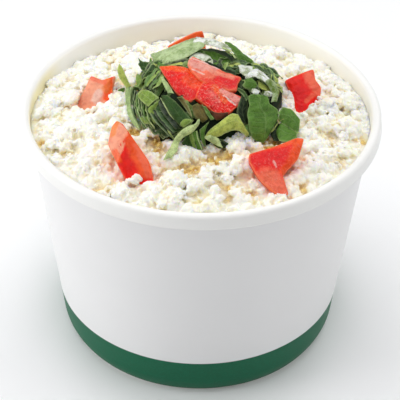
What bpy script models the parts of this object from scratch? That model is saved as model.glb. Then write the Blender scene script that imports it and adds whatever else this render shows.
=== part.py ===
"""A paper tub filled with crumbly white curd, topped with shredded herb and tomato pieces.

Metres, +Z up. The origin is the middle of the tub's foot, and -Y is the side that faces the viewer.
"""

import math

import bpy
import numpy as np
from mathutils import Euler, Vector

MM = 0.001

# ---------------------------------------------------------------- driving sizes, in mm
RIM_RADIUS = 57.5           # widest point of the rolled rim
TUB_HEIGHT = 82.0           # foot to the crest of the rim
WALL_TOP_RADIUS = 54.25     # outside of the wall just under the rim
WALL_TOP_Z = 77.5
WALL_FOOT_RADIUS = 46.2     # outside of the wall where the foot starts to draw in
FOOT_HEIGHT = 6.0           # height of the crimped foot
FOOT_KNEE = 3.0             # height at which the foot's curve bends, and at which the flange ends
FOOT_CRIMP = 2.0            # how far the foot draws in
FOOT_BEND = 0.25            # corner that the paper takes at the bottom fold
PAPER = 0.5                 # thickness of the coated paper
GAP = 0.3                   # air kept between separate pieces
FOLD_PITCH = PAPER + GAP    # wall, base flange and inner fold lie this far apart
BASE_Z = 6.6                # middle of the base disc's thickness
BASE_BEND = 0.8             # corner between the base disc and its flange
TURN_STEPS = 64             # facets round the tub

CREST_RADIUS = 1.3          # roll at the top of the rim, to the middle of the paper
CREST_ANGLES = (10, 60, 115, 170)
FACE_DROP = 1.1             # the rim's straight outer face, below the middle of the crest
LIP_RADIUS = 0.62           # bead at the lower edge of the rim
LIP_ANGLES = (-140, -60, 20)
LIP_LIFT = 0.35             # middle of the bead over the top of the wall
LIP_PROUD = 0.32            # how far the bead stands out past the rim's face
TUCK = (-1.35, 0.35)        # the paper's hidden end, from the middle of the bead

CURD_FRONT_LEVEL = -1.5     # curd level at the wall, measured from the rim: nearest the viewer
CURD_BACK_DROP = 7.0        # how much lower it lies at the far wall
CURD_BACK_CURVE = 2.2       # power of that fall: most of it is in the far half
CURD_DOME = 5.0             # rise of the curd at the middle
CURD_LUMPS = 1.4
CURD_SPOKES = 44
CURD_RINGS = 10

HERB_CENTRE = (1.0, 0.0)    # middle of the herb heap
HERB_RADIUS = 26.0
HERB_LOBES = ((1, 2.6, 0.45), (3, 1.1, -0.6), (5, 0.8, -1.57))    # waves, height, phase
HERB_RISE = 11.5            # height of the heap over the curd
HERB_EDGE = 1.4             # thickness of the heap at its outline
HERB_LUMPS = 0.9
HERB_DEPTH = 6.0            # how far below the rim its block starts, before the curd cuts it
HERB_SPOKES = 36
HERB_RINGS = 6

# ---------------------------------------------------------------- looks
PAPER_WHITE = (0.86, 0.86, 0.85, 1.0)
CURD_WHITE = (0.88, 0.86, 0.77, 1.0)
HERB_GREEN = (0.07, 0.16, 0.035, 1.0)
TOMATO_RED = (0.70, 0.05, 0.025, 1.0)

# ---------------------------------------------------------------- tomato pieces
# Each piece is a cut slab with a keel, like a wedge lying on its side. The outline is in mm in the
# plane of its upper face; centre is from the middle of the rim's plane; turn is in degrees.
# keel is the depth under the face, taper the size of the underside, crown the rise of the face.
TOMATO_PIECES = {
    "tomato_top_left": dict(
        centre=(-5.9, -6.3, 13.7), turn=(17, -8, 0), keel=4.0, taper=0.80, crown=0.5,
        outline=[(-6.9, 6.3), (-2.5, 6.6), (1.8, 5.2), (5.6, 0.0), (2.4, -9.0), (-2.2, -3.8),
                 (-4.0, 0.3)]),
    "tomato_top_front": dict(
        centre=(4.9, -13.6, 12.3), turn=(20, 8, 0), keel=4.4, taper=0.82, crown=0.6,
        outline=[(-6.3, -1.2), (-1.6, -5.0), (1.6, -5.5), (4.2, -4.7), (7.4, 0.0), (6.4, 1.7),
                 (-1.6, 4.0), (-4.2, 3.0)]),
    "tomato_top_back": dict(
        centre=(3.9, -4.9, 15.4), turn=(14, 6, 0), keel=4.0, taper=0.82, crown=0.5,
        outline=[(-8.1, 6.5), (-5.8, 6.0), (0.9, 3.3), (7.1, 0.8), (8.4, -0.6), (7.3, -5.5),
                 (4.6, -5.7), (-0.9, -1.0), (-7.3, 3.5)]),
    "tomato_front_left": dict(
        centre=(-20.8, -33.4, 5.5), turn=(36, -6, 0), keel=8.0, taper=0.50, crown=1.4,
        outline=[(-3.7, 10.2), (-5.2, 8.6), (-6.7, 3.0), (-3.5, -4.6), (-1.7, -8.4), (2.6, -10.6),
                 (7.0, -11.1), (5.8, -3.4), (-1.9, 9.1)]),
    "tomato_front_right": dict(
        centre=(22.3, -34.9, 4.5), turn=(28, 4, 0), keel=7.0, taper=0.55, crown=0.7,
        outline=[(-7.9, 1.5), (-7.7, -1.2), (-4.5, -6.6), (0.7, -11.2), (4.5, -11.1), (2.2, -4.9),
                 (7.0, 1.4), (8.6, 8.0), (6.4, 8.1), (-1.0, 4.2)]),
    "tomato_right": dict(
        centre=(33.3, 8.6, 1.5), turn=(32, 6, 0), keel=7.0, taper=0.60, crown=0.8,
        outline=[(-7.1, 2.0), (2.5, 7.4), (3.2, 3.4), (5.2, 1.0), (5.2, -3.2), (0.8, -8.5),
                 (-2.6, -9.3), (-3.7, -2.9)]),
    "tomato_left": dict(
        centre=(-33.2, 5.9, 0.6), turn=(34, -8, 0), keel=6.5, taper=0.60, crown=0.8,
        outline=[(-1.4, 6.1), (6.2, 4.9), (4.1, -0.1), (4.0, -4.4), (-4.6, -6.7), (-6.3, -6.0),
                 (-5.9, -2.6)]),
    "tomato_back": dict(
        centre=(-4.9, 33.7, 2.5), turn=(72, 0, 12), keel=6.0, taper=0.70, crown=0.8,
        outline=[(-6.8, 0.9), (-6.4, -3.7), (-2.6, -6.6), (2.8, -7.8), (6.5, -6.6), (5.7, 3.6),
                 (-1.7, 2.6)]),
}
CORNER_CUT = 0.18           # share of each side that a corner takes when it is rounded
# Rings of a piece from its keel up: size, height as a share of the keel, share of the crown, and
# how much of a cutter's growth the ring takes.
TOMATO_RINGS = (
    (0.55, -0.96, 0.0, -1.0, True),
    (1.00, -0.62, 0.0, -0.5, True),
    (1.00, -0.22, 0.0, 0.0, False),
    (0.97, 0.00, 0.0, 1.0, False),
    (0.60, 0.00, 0.75, 1.0, False),
)
POCKET_GAP = GAP + 0.1      # a pocket is cut this much larger than its piece


# ---------------------------------------------------------------- scene helpers

def clear_scene():
    """Remove every object, so that the model starts from nothing."""
    for thing in list(bpy.data.objects):
        bpy.data.objects.remove(thing, do_unlink=True)


def new_collection(name):
    """Return a new collection under the scene."""
    group = bpy.data.collections.new(name)
    bpy.context.scene.collection.children.link(group)
    return group


def make_material(name, colour, roughness):
    """Return a plain Principled material."""
    material = bpy.data.materials.new(name)
    material.use_nodes = True
    shader = material.node_tree.nodes["Principled BSDF"]
    shader.inputs["Base Color"].default_value = colour
    shader.inputs["Roughness"].default_value = roughness
    shader.inputs["Metallic"].default_value = 0.0
    return material


def mesh_object(name, points, faces, group, material=None):
    """Make an object from points in mm and faces, and shade it smooth with sharp edges kept."""
    mesh = bpy.data.meshes.new(name)
    mesh.from_pydata([Vector(p) * MM for p in points], [], faces)
    mesh.validate()
    thing = bpy.data.objects.new(name, mesh)
    group.objects.link(thing)
    if material is not None:
        mesh.materials.append(material)
    mesh.shade_smooth()
    mesh.set_sharp_from_angle(angle=math.radians(40))
    return thing


def ring_faces(count, rings):
    """Triangles of a closed body: a first point, rings of count points, and a last point."""
    faces = []
    last = 1 + rings * count
    for k in range(count):
        after = (k + 1) % count
        faces.append((0, 1 + after, 1 + k))
        for ring in range(rings - 1):
            low, high = 1 + ring * count, 1 + (ring + 1) * count
            faces.append((low + k, low + after, high + after))
            faces.append((low + k, high + after, high + k))
        top = 1 + (rings - 1) * count
        faces.append((top + k, top + after, last))
    return faces


def make_cutter(thing):
    """Mark an object as a cutter, which is not part of the model."""
    thing.hide_render = True
    thing.display_type = "WIRE"


def cut(thing, cutter):
    """Subtract a cutter from an object."""
    boolean = thing.modifiers.new("cut " + cutter.name, "BOOLEAN")
    boolean.operation = "DIFFERENCE"
    boolean.solver = "EXACT"
    boolean.object = cutter


# ---------------------------------------------------------------- the tub

def wall_radius(z):
    """Outer radius of the wall at height z in mm: a cone that draws in at the crimped foot."""
    slope = (WALL_TOP_RADIUS - WALL_FOOT_RADIUS) / (WALL_TOP_Z - FOOT_HEIGHT)
    cone = WALL_FOOT_RADIUS + slope * (z - FOOT_HEIGHT)
    if z >= FOOT_HEIGHT:
        return cone
    return cone - FOOT_CRIMP * (1.0 - z / FOOT_HEIGHT) ** 2


def sheet_radius(z, layer):
    """Middle of the paper at height z: layer 0 is the wall, 1 the base's flange, 2 the inner fold."""
    return wall_radius(z) - PAPER / 2 - layer * FOLD_PITCH


def arc(x, z, radius, angles):
    """Points on a circle's arc at the given angles in degrees."""
    turns = [math.radians(angle) for angle in angles]
    return [(x + radius * math.cos(turn), z + radius * math.sin(turn)) for turn in turns]


def rim_path():
    """Middle line of the paper in the rolled rim, from its tucked end over the crest to the wall."""
    outermost = RIM_RADIUS - PAPER / 2
    lip_x, lip_z = outermost - LIP_RADIUS, WALL_TOP_Z + LIP_LIFT
    crest_x = outermost - LIP_PROUD - CREST_RADIUS
    crest_z = TUB_HEIGHT - PAPER / 2 - CREST_RADIUS
    path = [(lip_x + TUCK[0], lip_z + TUCK[1])]
    path += arc(lip_x, lip_z, LIP_RADIUS, LIP_ANGLES)
    path.append((crest_x + CREST_RADIUS, crest_z - FACE_DROP))
    path += arc(crest_x, crest_z, CREST_RADIUS, CREST_ANGLES)
    return path


def foot_path():
    """Middle line of the paper down the wall, round the foot and up the inner fold."""
    bottom = PAPER / 2
    path = [(sheet_radius(z, 0), z) for z in (FOOT_HEIGHT, FOOT_KNEE)]
    path.append((sheet_radius(bottom, 0) - FOOT_BEND, bottom))
    path.append((sheet_radius(bottom, 2) + FOOT_BEND, bottom))
    path += [(sheet_radius(z, 2), z) for z in (FOOT_KNEE, BASE_Z - BASE_BEND)]
    return path


def base_path():
    """Middle line of the base disc and the flange that hangs from it between wall and fold."""
    corner = sheet_radius(BASE_Z, 1)
    path = [(0.0, BASE_Z), (corner - BASE_BEND, BASE_Z)]
    path += [(sheet_radius(z, 1), z) for z in (BASE_Z - BASE_BEND, FOOT_KNEE)]
    return path


def turn_profile(name, path, group, material):
    """Turn an open profile in mm round Z and give the paper its thickness."""
    points = [Vector((x, 0.0, z)) * MM for x, z in path]
    edges = [(i, i + 1) for i in range(len(points) - 1)]
    mesh = bpy.data.meshes.new(name)
    mesh.from_pydata(points, edges, [])
    mesh.materials.append(material)
    thing = bpy.data.objects.new(name, mesh)
    group.objects.link(thing)
    screw = thing.modifiers.new("turn", "SCREW")
    screw.angle = math.tau
    screw.steps = TURN_STEPS
    screw.render_steps = TURN_STEPS
    screw.use_merge_vertices = True
    screw.merge_threshold = 0.00001
    screw.use_smooth_shade = True
    shell = thing.modifiers.new("paper", "SOLIDIFY")
    shell.thickness = PAPER * MM
    shell.offset = 0.0
    shell.use_even_offset = True
    return thing


# ---------------------------------------------------------------- the curd

def lumps(x, y, height):
    """Unevenness of a heap, from waves that cross at different angles."""
    first = math.sin(0.52 * x + 0.21 * y + 0.7)
    second = math.sin(-0.24 * x + 0.63 * y + 2.1)
    third = math.sin(0.41 * x - 0.47 * y + 4.0)
    return height * (first + second + third) / 3


def curd_level(x, y):
    """Height in mm of the curd over (x, y) without its lumps: low at the far wall, domed inside."""
    back = min(max((1.0 + y / WALL_TOP_RADIUS) / 2, 0.0), 1.0)
    level = CURD_FRONT_LEVEL - CURD_BACK_DROP * back ** CURD_BACK_CURVE
    dome = CURD_DOME * (1.0 - (x * x + y * y) / WALL_TOP_RADIUS ** 2)
    return TUB_HEIGHT + level + dome


def curd_top(x, y):
    """Height in mm of the curd's uneven surface over (x, y)."""
    return curd_level(x, y) + lumps(x, y, CURD_LUMPS)


def round_points(count, reach, height_at):
    """Points of one ring: reach gives the radius at an angle, height_at the height over a point."""
    points = []
    for k in range(count):
        turn = math.tau * k / count
        x, y = reach(turn) * math.cos(turn), reach(turn) * math.sin(turn)
        points.append((x, y, height_at(x, y)))
    return points


def build_curd(name, group, material, lift=0.0):
    """One solid from the base to its uneven top. With lift it is the cutter that keeps a gap."""
    floor = BASE_Z + PAPER / 2 + GAP
    inset = PAPER + GAP

    def top_edge(turn):
        """Radius at which the curd meets the wall at an angle."""
        near = wall_radius(WALL_TOP_Z) - inset
        return wall_radius(curd_top(near * math.cos(turn), near * math.sin(turn)) + lift) - inset

    points = [(0.0, 0.0, floor)]
    points += round_points(CURD_SPOKES, lambda turn: wall_radius(floor) - inset, lambda x, y: floor)
    for ring in range(CURD_RINGS):
        share = math.sqrt(1.0 - ring / CURD_RINGS)
        points += round_points(CURD_SPOKES, lambda turn: top_edge(turn) * share,
                               lambda x, y: curd_top(x, y) + lift)
    points.append((0.0, 0.0, curd_top(0.0, 0.0) + lift))
    return mesh_object(name, points, ring_faces(CURD_SPOKES, CURD_RINGS + 1), group, material)


# ---------------------------------------------------------------- the herb heap

def herb_reach(turn):
    """Radius of the herb heap's lobed outline at an angle."""
    return HERB_RADIUS + sum(size * math.cos(n * turn + phase) for n, size, phase in HERB_LOBES)


def herb_top(x, y, share):
    """Height in mm of the heap at a share of the way out to its outline."""
    rise = HERB_EDGE + HERB_RISE * (1.0 - share * share) ** 0.8
    bed = curd_level(x, y) + lumps(x, y, CURD_LUMPS) * share
    return bed + rise + lumps(3 * x, 3 * y, HERB_LUMPS)


def build_herb(group, material):
    """A heap with an uneven outline, which is cut by what it lies on and by what lies on it."""
    floor = TUB_HEIGHT - HERB_DEPTH
    points = [(0.0, 0.0, floor)]
    points += round_points(HERB_SPOKES, herb_reach, lambda x, y: floor)
    centre_x, centre_y = HERB_CENTRE
    for ring in range(HERB_RINGS):
        share = 1.0 - ring / HERB_RINGS
        points += round_points(HERB_SPOKES, lambda turn: herb_reach(turn) * share,
                               lambda x, y: herb_top(centre_x + x, centre_y + y, share))
    points.append((0.0, 0.0, herb_top(centre_x, centre_y, 0.0)))
    thing = mesh_object("herb_heap", points, ring_faces(HERB_SPOKES, HERB_RINGS + 1), group, material)
    thing.location = Vector((centre_x, centre_y, 0.0)) * MM
    return thing


# ---------------------------------------------------------------- the tomato pieces

def signed_area(outline):
    """Area of an outline, positive when it runs anticlockwise."""
    x, y = outline[:, 0], outline[:, 1]
    return 0.5 * float(np.sum(x * np.roll(y, -1) - np.roll(x, -1) * y))


def rounded(outline):
    """Cut every corner of an outline, which gives it twice the points, and run it anticlockwise."""
    corners = np.array(outline)
    following = np.roll(corners, -1, axis=0)
    softened = np.empty((2 * len(corners), 2))
    softened[0::2] = (1.0 - CORNER_CUT) * corners + CORNER_CUT * following
    softened[1::2] = CORNER_CUT * corners + (1.0 - CORNER_CUT) * following
    return softened if signed_area(softened) > 0 else softened[::-1]


def grown(outline, amount):
    """Move an outline outwards by an amount along its own normals."""
    along = np.roll(outline, -1, axis=0) - np.roll(outline, 1, axis=0)
    normal = np.stack([along[:, 1], -along[:, 0]], axis=1)
    normal /= np.linalg.norm(normal, axis=1, keepdims=True)
    return outline + amount * normal


def build_tomato(name, spec, group, material, grow=0.0):
    """Loft one piece through rings of its outline, from the keel up to the crown."""
    corners = rounded(spec["outline"])
    middle = corners.mean(axis=0)
    keel, crown = spec["keel"], spec["crown"]
    points = [(middle[0], middle[1], -keel - grow)]
    for size, depth, rise, growth, tapered in TOMATO_RINGS:
        scale = size * (spec["taper"] if tapered else 1.0)
        height = depth * keel + rise * crown + growth * grow
        points += [(x, y, height) for x, y in grown(middle + (corners - middle) * scale, grow)]
    points.append((middle[0], middle[1], crown + grow))
    faces = ring_faces(len(corners), len(TOMATO_RINGS))
    thing = mesh_object(name, points, faces, group, material)
    thing.location = (Vector(spec["centre"]) + Vector((0.0, 0.0, TUB_HEIGHT))) * MM
    thing.rotation_euler = Euler([math.radians(angle) for angle in spec["turn"]], "XYZ")
    return thing


# ---------------------------------------------------------------- assembly

def main():
    """Build the tub, then what it holds from the bottom up."""
    clear_scene()
    parts = new_collection("bowl_of_mish")
    cutters = new_collection("cutters")
    paper = make_material("coated_paper", PAPER_WHITE, 0.35)
    curd = make_material("white_curd", CURD_WHITE, 0.5)
    herb = make_material("green_herb", HERB_GREEN, 0.45)
    tomato = make_material("red_tomato", TOMATO_RED, 0.25)

    turn_profile("tub_wall", rim_path() + foot_path(), parts, paper)
    turn_profile("tub_base", base_path(), parts, paper)
    curd_heap = build_curd("cheese_heap", parts, curd)
    herb_heap = build_herb(parts, herb)
    under_herb = build_curd("cutter_curd", cutters, None, lift=GAP)
    make_cutter(under_herb)
    cut(herb_heap, under_herb)
    for name, spec in TOMATO_PIECES.items():
        build_tomato(name, spec, parts, tomato)
        pocket = build_tomato("cutter_" + name, spec, cutters, None, grow=POCKET_GAP)
        make_cutter(pocket)
        cut(herb_heap, pocket)
        if not name.startswith("tomato_top"):
            cut(curd_heap, pocket)


main()
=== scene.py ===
"""A white paper tub of crumbly curd cheese, topped with cut green leaves and tomato pieces.

Every length is in millimetres until a mesh is made. Heights run up from the tub's foot, and -Y is
the side that faces the viewer. A place read off the photograph is a pixel of its 400 by 400 frame
with a height, and the camera's own geometry turns it into a point in space.
"""
import logging
import math
from collections.abc import Callable, Sequence
from dataclasses import dataclass, field
from enum import Enum

import bmesh
import bpy
import numpy as np
from mathutils import Euler, Matrix, Vector


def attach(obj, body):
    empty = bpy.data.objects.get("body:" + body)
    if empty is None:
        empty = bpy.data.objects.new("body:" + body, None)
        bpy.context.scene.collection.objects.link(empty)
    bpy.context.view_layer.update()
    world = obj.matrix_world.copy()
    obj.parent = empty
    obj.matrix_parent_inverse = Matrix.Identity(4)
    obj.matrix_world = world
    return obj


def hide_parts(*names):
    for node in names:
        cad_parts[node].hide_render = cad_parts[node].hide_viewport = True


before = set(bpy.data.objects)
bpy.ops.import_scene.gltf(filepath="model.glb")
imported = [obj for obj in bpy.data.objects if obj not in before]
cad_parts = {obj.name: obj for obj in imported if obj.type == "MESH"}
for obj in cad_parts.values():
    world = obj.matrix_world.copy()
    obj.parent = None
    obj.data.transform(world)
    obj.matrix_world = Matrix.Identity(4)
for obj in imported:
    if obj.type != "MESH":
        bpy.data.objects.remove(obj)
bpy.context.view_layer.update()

log = logging.getLogger("bowl")

MM = 0.001
PHOTO = 400                 # pixels along each side of the photograph
RIM = 82.0                  # height of the rim's crest

Array = np.ndarray
Spot = tuple[float, float, float]      # a pixel's column and row, and a height
Colour = tuple[float, float, float]
Pair = tuple[float, float]


# ---------------------------------------------------------------- numbers and surfaces

class Grain:
    """Smooth noise in space: random values on a lattice, blended between the lattice's points."""

    CELLS = 32
    SHIFTS = (0, 11, 23)        # steps along the lattice to the numbers that move a seed
    WANDER = 0.45               # how far a seed lies off its cell's middle, in cells

    def __init__(self, seed: int) -> None:
        """Fill the lattice with values from -1 to 1.

        Args:
            seed: Number that settles the random values.
        """
        self.values = np.random.default_rng(seed).uniform(-1, 1, (self.CELLS,) * 3)

    def __call__(self, points: Array, size: float) -> Array:
        """Return the noise at some points.

        Each point takes the mean of its lattice cell's eight corners, weighted by smoothed
        distances, so that the noise has no creases.

        Args:
            points: Places, with three columns.
            size: Distance between the lattice's points, in the points' own unit.

        Returns:
            One value from -1 to 1 for each point.
        """
        scaled = points / size
        whole = np.floor(scaled).astype(int)
        part = scaled - whole
        part = part * part * (3 - 2 * part)
        total = np.zeros(points.shape[:-1])
        for corner in np.ndindex(2, 2, 2):
            index = (whole + corner) % self.CELLS
            weight = np.prod(np.where(corner, part, 1 - part), axis=-1)
            total += weight * self.values[index[..., 0], index[..., 1], index[..., 2]]
        return total

    def crumbs(self, points: Array, size: float) -> Array:
        """Return how far places are from the nearest of many scattered seeds, squared.

        Each cell of the lattice holds one seed, which its random values move about. The outcome
        is 0 at a seed and rises to about 0.8 in the creases between the seeds' own regions.

        Args:
            points: Places, with three columns.
            size: Length of a cell, in the points' own unit.

        Returns:
            One value for each point.
        """
        scaled = points / size
        whole = np.floor(scaled).astype(int)
        nearest = np.full(len(points), np.inf)
        for corner in np.ndindex(3, 3, 3):
            cell = whole + corner - 1
            i, j, k = (cell % self.CELLS).T
            moved = [self.values[i, (j + step) % self.CELLS, (k - step) % self.CELLS]
                     for step in self.SHIFTS]
            seed = cell + 0.5 + self.WANDER * np.stack(moved, axis=-1)
            nearest = np.minimum(nearest, np.sum((scaled - seed) ** 2, axis=-1))
        return nearest


def smoothstep(low: float, high: float, value: Array) -> Array:
    """Return 0 below low, 1 above high, and a smooth S between them."""
    part = np.clip((value - low) / (high - low), 0, 1)
    return part * part * (3 - 2 * part)


def unit(vectors: Array) -> Array:
    """Return vectors of length one along the last axis."""
    return vectors / np.maximum(np.linalg.norm(vectors, axis=-1, keepdims=True), 1e-9)


def curve(knots: Array, count: int, smooth: float = 1.0) -> Array:
    """Return points on a curve through some knots.

    Between two knots the curve is a cubic whose slope at each knot is that of the line between the
    knot's neighbours, with the chords' lengths as its parameter. The less smooth it is, the more
    the slopes follow the chords, up to straight stretches with corners at the knots.

    Args:
        knots: Places that the curve passes, one a row.
        count: How many points to return.
        smooth: 1 for a smooth curve and 0 for straight stretches.

    Returns:
        Points at equal steps of the summed chord length.
    """
    knots = np.asarray(knots, float)
    chords = np.maximum(np.linalg.norm(np.diff(knots, axis=0), axis=1), 1e-6)
    marks = np.concatenate([[0.0], np.cumsum(chords)])
    slopes = np.gradient(knots, marks, axis=0) if len(knots) > 2 else np.diff(knots, axis=0) / chords
    slopes = np.broadcast_to(slopes, knots.shape)
    where = np.linspace(0, marks[-1], count)
    span = np.clip(np.searchsorted(marks, where, side="right") - 1, 0, len(chords) - 1)
    step = chords[span][:, None]
    t = ((where - marks[span]) / chords[span])[:, None]
    start, end = knots[span], knots[span + 1]
    leave, arrive = (smooth * slopes[k] * step + (1 - smooth) * (end - start) for k in (span, span + 1))
    cubic = (2 * t**3 - 3 * t**2 + 1) * start + (t**3 - 2 * t**2 + t) * leave
    return cubic + (3 * t**2 - 2 * t**3) * end + (t**3 - t**2) * arrive


def along_outline(outline: Array, count: int) -> Array:
    """Return points at equal distances round a closed outline.

    Args:
        outline: Its corners, one a row.
        count: How many points to return.

    Returns:
        The points, of which the first is the first corner.
    """
    closed = np.concatenate([outline, outline[:1]])
    marks = np.concatenate([[0.0], np.cumsum(np.linalg.norm(np.diff(closed, axis=0), axis=1))])
    where = np.linspace(0, marks[-1], count, endpoint=False)
    return np.stack([np.interp(where, marks, closed[:, k]) for k in range(closed.shape[1])], axis=1)


def rounded(outline: Array, share: float, times: int) -> Array:
    """Return an outline whose corners are cut again and again, each cut a share of its side.

    Args:
        outline: Its corners, one a row.
        share: Share of a side that the first cut takes at each end.
        times: How often the corners are cut.

    Returns:
        The softened outline, one point a row.
    """
    for _ in range(times):
        after = np.roll(outline, -1, axis=0)
        softened = np.empty((2 * len(outline), outline.shape[1]))
        softened[0::2] = (1 - share) * outline + share * after
        softened[1::2] = share * outline + (1 - share) * after
        outline = softened
        share = 0.25
    return outline


def arc(middle: Pair, reach: float, degrees: Array) -> Array:
    """Return the points of an arc round a middle, at some angles."""
    angles = np.radians(degrees)
    return np.stack([middle[0] + reach * np.cos(angles), middle[1] + reach * np.sin(angles)], axis=1)


def around(radius: Array, angle: Array, height: Array | float) -> Array:
    """Return places from their distance to the Z axis, their angle round it and their height."""
    return np.stack(np.broadcast_arrays(radius * np.cos(angle), radius * np.sin(angle), height), axis=-1)


def bell(away: Array, reach: float) -> Array:
    """Return 1 where a distance is 0, falling on a bell curve to 0.37 at the reach."""
    return np.exp(-(away / reach) ** 2)


def distance_to(line: Array, places: Array) -> Array:
    """Return each place's distance in a plane to a chain of straight stretches.

    Args:
        line: The chain's knots, one a row.
        places: Places in the same plane.

    Returns:
        One distance for each place.
    """
    best = np.full(places.shape[:-1], np.inf)
    for start, end in zip(line[:-1], line[1:]):
        run = end - start
        share = np.clip((places - start) @ run / max(float(run @ run), 1e-9), 0, 1)
        best = np.minimum(best, np.linalg.norm(places - start - share[..., None] * run, axis=-1))
    return best


def left_of(line: Array, places: Array) -> Array:
    """Return which places lie on the left of a chain, judged by its nearest stretch.

    Args:
        line: The chain's knots, one a row.
        places: Places in the same plane.

    Returns:
        True for each place on the left.
    """
    best = np.full(places.shape[:-1], np.inf)
    left = np.zeros(places.shape[:-1], bool)
    for start, end in zip(line[:-1], line[1:]):
        run = end - start
        away = distance_to(np.stack([start, end]), places)
        side = run[0] * (places[..., 1] - start[1]) - run[1] * (places[..., 0] - start[0]) > 0
        left = np.where(away < best, side, left)
        best = np.minimum(best, away)
    return left


def within(outline: Array, places: Array) -> Array:
    """Return which places lie inside an outline, by counting the sides that a ray crosses.

    Args:
        outline: Its corners, one a row.
        places: Places in the same plane, one a row.

    Returns:
        True for each place inside.
    """
    inside = np.zeros(len(places), bool)
    for start, end in zip(outline, np.roll(outline, -1, axis=0)):
        spans = (start[1] > places[:, 1]) != (end[1] > places[:, 1])
        rise = end[1] - start[1] if abs(end[1] - start[1]) > 1e-9 else 1e-9
        left = places[:, 0] < (end[0] - start[0]) * (places[:, 1] - start[1]) / rise + start[0]
        inside ^= spans & left
    return inside


class Ends(Enum):
    """How a row of rings is closed at its two ends."""

    LOOP = "the last ring joins the first"
    POLE = "each end ring is filled from its middle"
    STRIP = "the two halves of an end ring are joined across"


@dataclass
class Skin:
    """Points and faces of closed bodies, with values at the points for named attributes."""

    points: Array
    faces: list[Array]
    marks: dict[str, Array] = field(default_factory=dict)

    @staticmethod
    def of_rings(rings: Array, ends: Ends, marks: dict[str, Array] | None = None) -> "Skin":
        """Close a row of rings into one body with its faces turned out.

        Ring i and ring i + 1 are joined point by point, each ring runs back to its own first
        point, and the sign of the enclosed volume says which way the faces have to turn.

        Args:
            rings: Places as rings, points of a ring and three coordinates.
            ends: How the first and the last ring are closed.
            marks: Attribute values for each ring's points, with one or four columns.

        Returns:
            The closed body.
        """
        count, steps = rings.shape[:2]
        index = np.arange(count * steps).reshape(count, steps)
        points = rings.reshape(-1, 3)
        marks = {key: value.reshape(len(points), -1) for key, value in (marks or {}).items()}
        low = index if ends is Ends.LOOP else index[:-1]
        high = np.roll(index, -1, axis=0) if ends is Ends.LOOP else index[1:]
        quads = [low, np.roll(low, -1, axis=1), np.roll(high, -1, axis=1), high]
        faces = [np.stack(quads, axis=-1).reshape(-1, 4)]
        if ends is Ends.POLE:
            middles = np.stack([rings[0].mean(axis=0), rings[-1].mean(axis=0)])
            first, last = len(points), len(points) + 1
            points = np.concatenate([points, middles])
            marks = {key: np.concatenate([value, value[:steps].mean(0)[None],
                                          value[-steps:].mean(0)[None]])
                     for key, value in marks.items()}
            head, tail = index[0], index[-1]
            faces.append(np.stack([np.roll(head, -1), head, np.full(steps, first)], axis=-1))
            faces.append(np.stack([tail, np.roll(tail, -1), np.full(steps, last)], axis=-1))
        if ends is Ends.STRIP:
            half = np.arange(steps // 2 - 1)
            across = np.stack([half, half + 1, steps - 2 - half, steps - 1 - half], axis=-1)
            faces.append(index[0][across][:, ::-1])
            faces.append(index[-1][across])
        body = Skin(points, faces, marks)
        if body.volume() < 0:
            body.faces = [face[:, ::-1] for face in body.faces]
        return body

    @staticmethod
    def joined(bodies: Sequence["Skin"]) -> "Skin":
        """Put several bodies into one mesh, where an attribute that one lacks is zero.

        Args:
            bodies: The bodies, which stay as they are.

        Returns:
            One skin with all their points and faces.
        """
        sizes = [len(body.points) for body in bodies]
        starts = np.concatenate([[0], np.cumsum(sizes)[:-1]])
        faces = [face + start for body, start in zip(bodies, starts) for face in body.faces]
        widths = {key: body.marks[key].shape[1] for body in bodies for key in body.marks}
        marks = {key: np.concatenate([body.marks.get(key, np.zeros((size, width)))
                                      for body, size in zip(bodies, sizes)])
                 for key, width in widths.items()}
        return Skin(np.concatenate([body.points for body in bodies]), faces, marks)

    def volume(self) -> float:
        """Return six times the enclosed volume, which is negative if the faces turn inwards.

        Returns:
            Six times the volume, in the points' own unit.
        """
        total = 0.0
        for face in self.faces:
            first = self.points[face[:, 0]]
            for k in range(1, face.shape[1] - 1):
                cross = np.cross(self.points[face[:, k]], self.points[face[:, k + 1]])
                total += float(np.sum(first * cross))
        return total

    def to_mesh(self, name: str, scale: float = MM) -> bpy.types.Mesh:
        """Write the body into a new smooth mesh.

        Args:
            name: The mesh's name.
            scale: Size of the points' unit in metres.

        Returns:
            The mesh, with one point attribute for each of the marks.
        """
        mesh = bpy.data.meshes.new(name)
        mesh.vertices.add(len(self.points))
        mesh.vertices.foreach_set("co", (self.points * scale).astype(np.float32).ravel())
        corners = np.concatenate([face.ravel() for face in self.faces])
        widths = np.concatenate([np.full(len(face), face.shape[1]) for face in self.faces])
        mesh.loops.add(len(corners))
        mesh.loops.foreach_set("vertex_index", corners.astype(np.int32))
        mesh.polygons.add(len(widths))
        starts = np.concatenate([[0], np.cumsum(widths)[:-1]])
        mesh.polygons.foreach_set("loop_start", starts.astype(np.int32))
        mesh.update(calc_edges=True)
        mesh.validate()
        mesh.shade_smooth()
        for key, value in self.marks.items():
            add_mark(mesh, key, value)
        return mesh


def add_mark(mesh: bpy.types.Mesh, name: str, value: Array) -> None:
    """Give a mesh a point attribute: a number, or a colour where the values have four columns.

    Args:
        mesh: The mesh.
        name: The attribute's name.
        value: One number or four for each of its points.
    """
    colour = value.ndim == 2 and value.shape[1] == 4
    layer = mesh.attributes.new(name, "FLOAT_COLOR" if colour else "FLOAT", "POINT")
    layer.data.foreach_set("color" if colour else "value", value.astype(np.float32).ravel())


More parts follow.
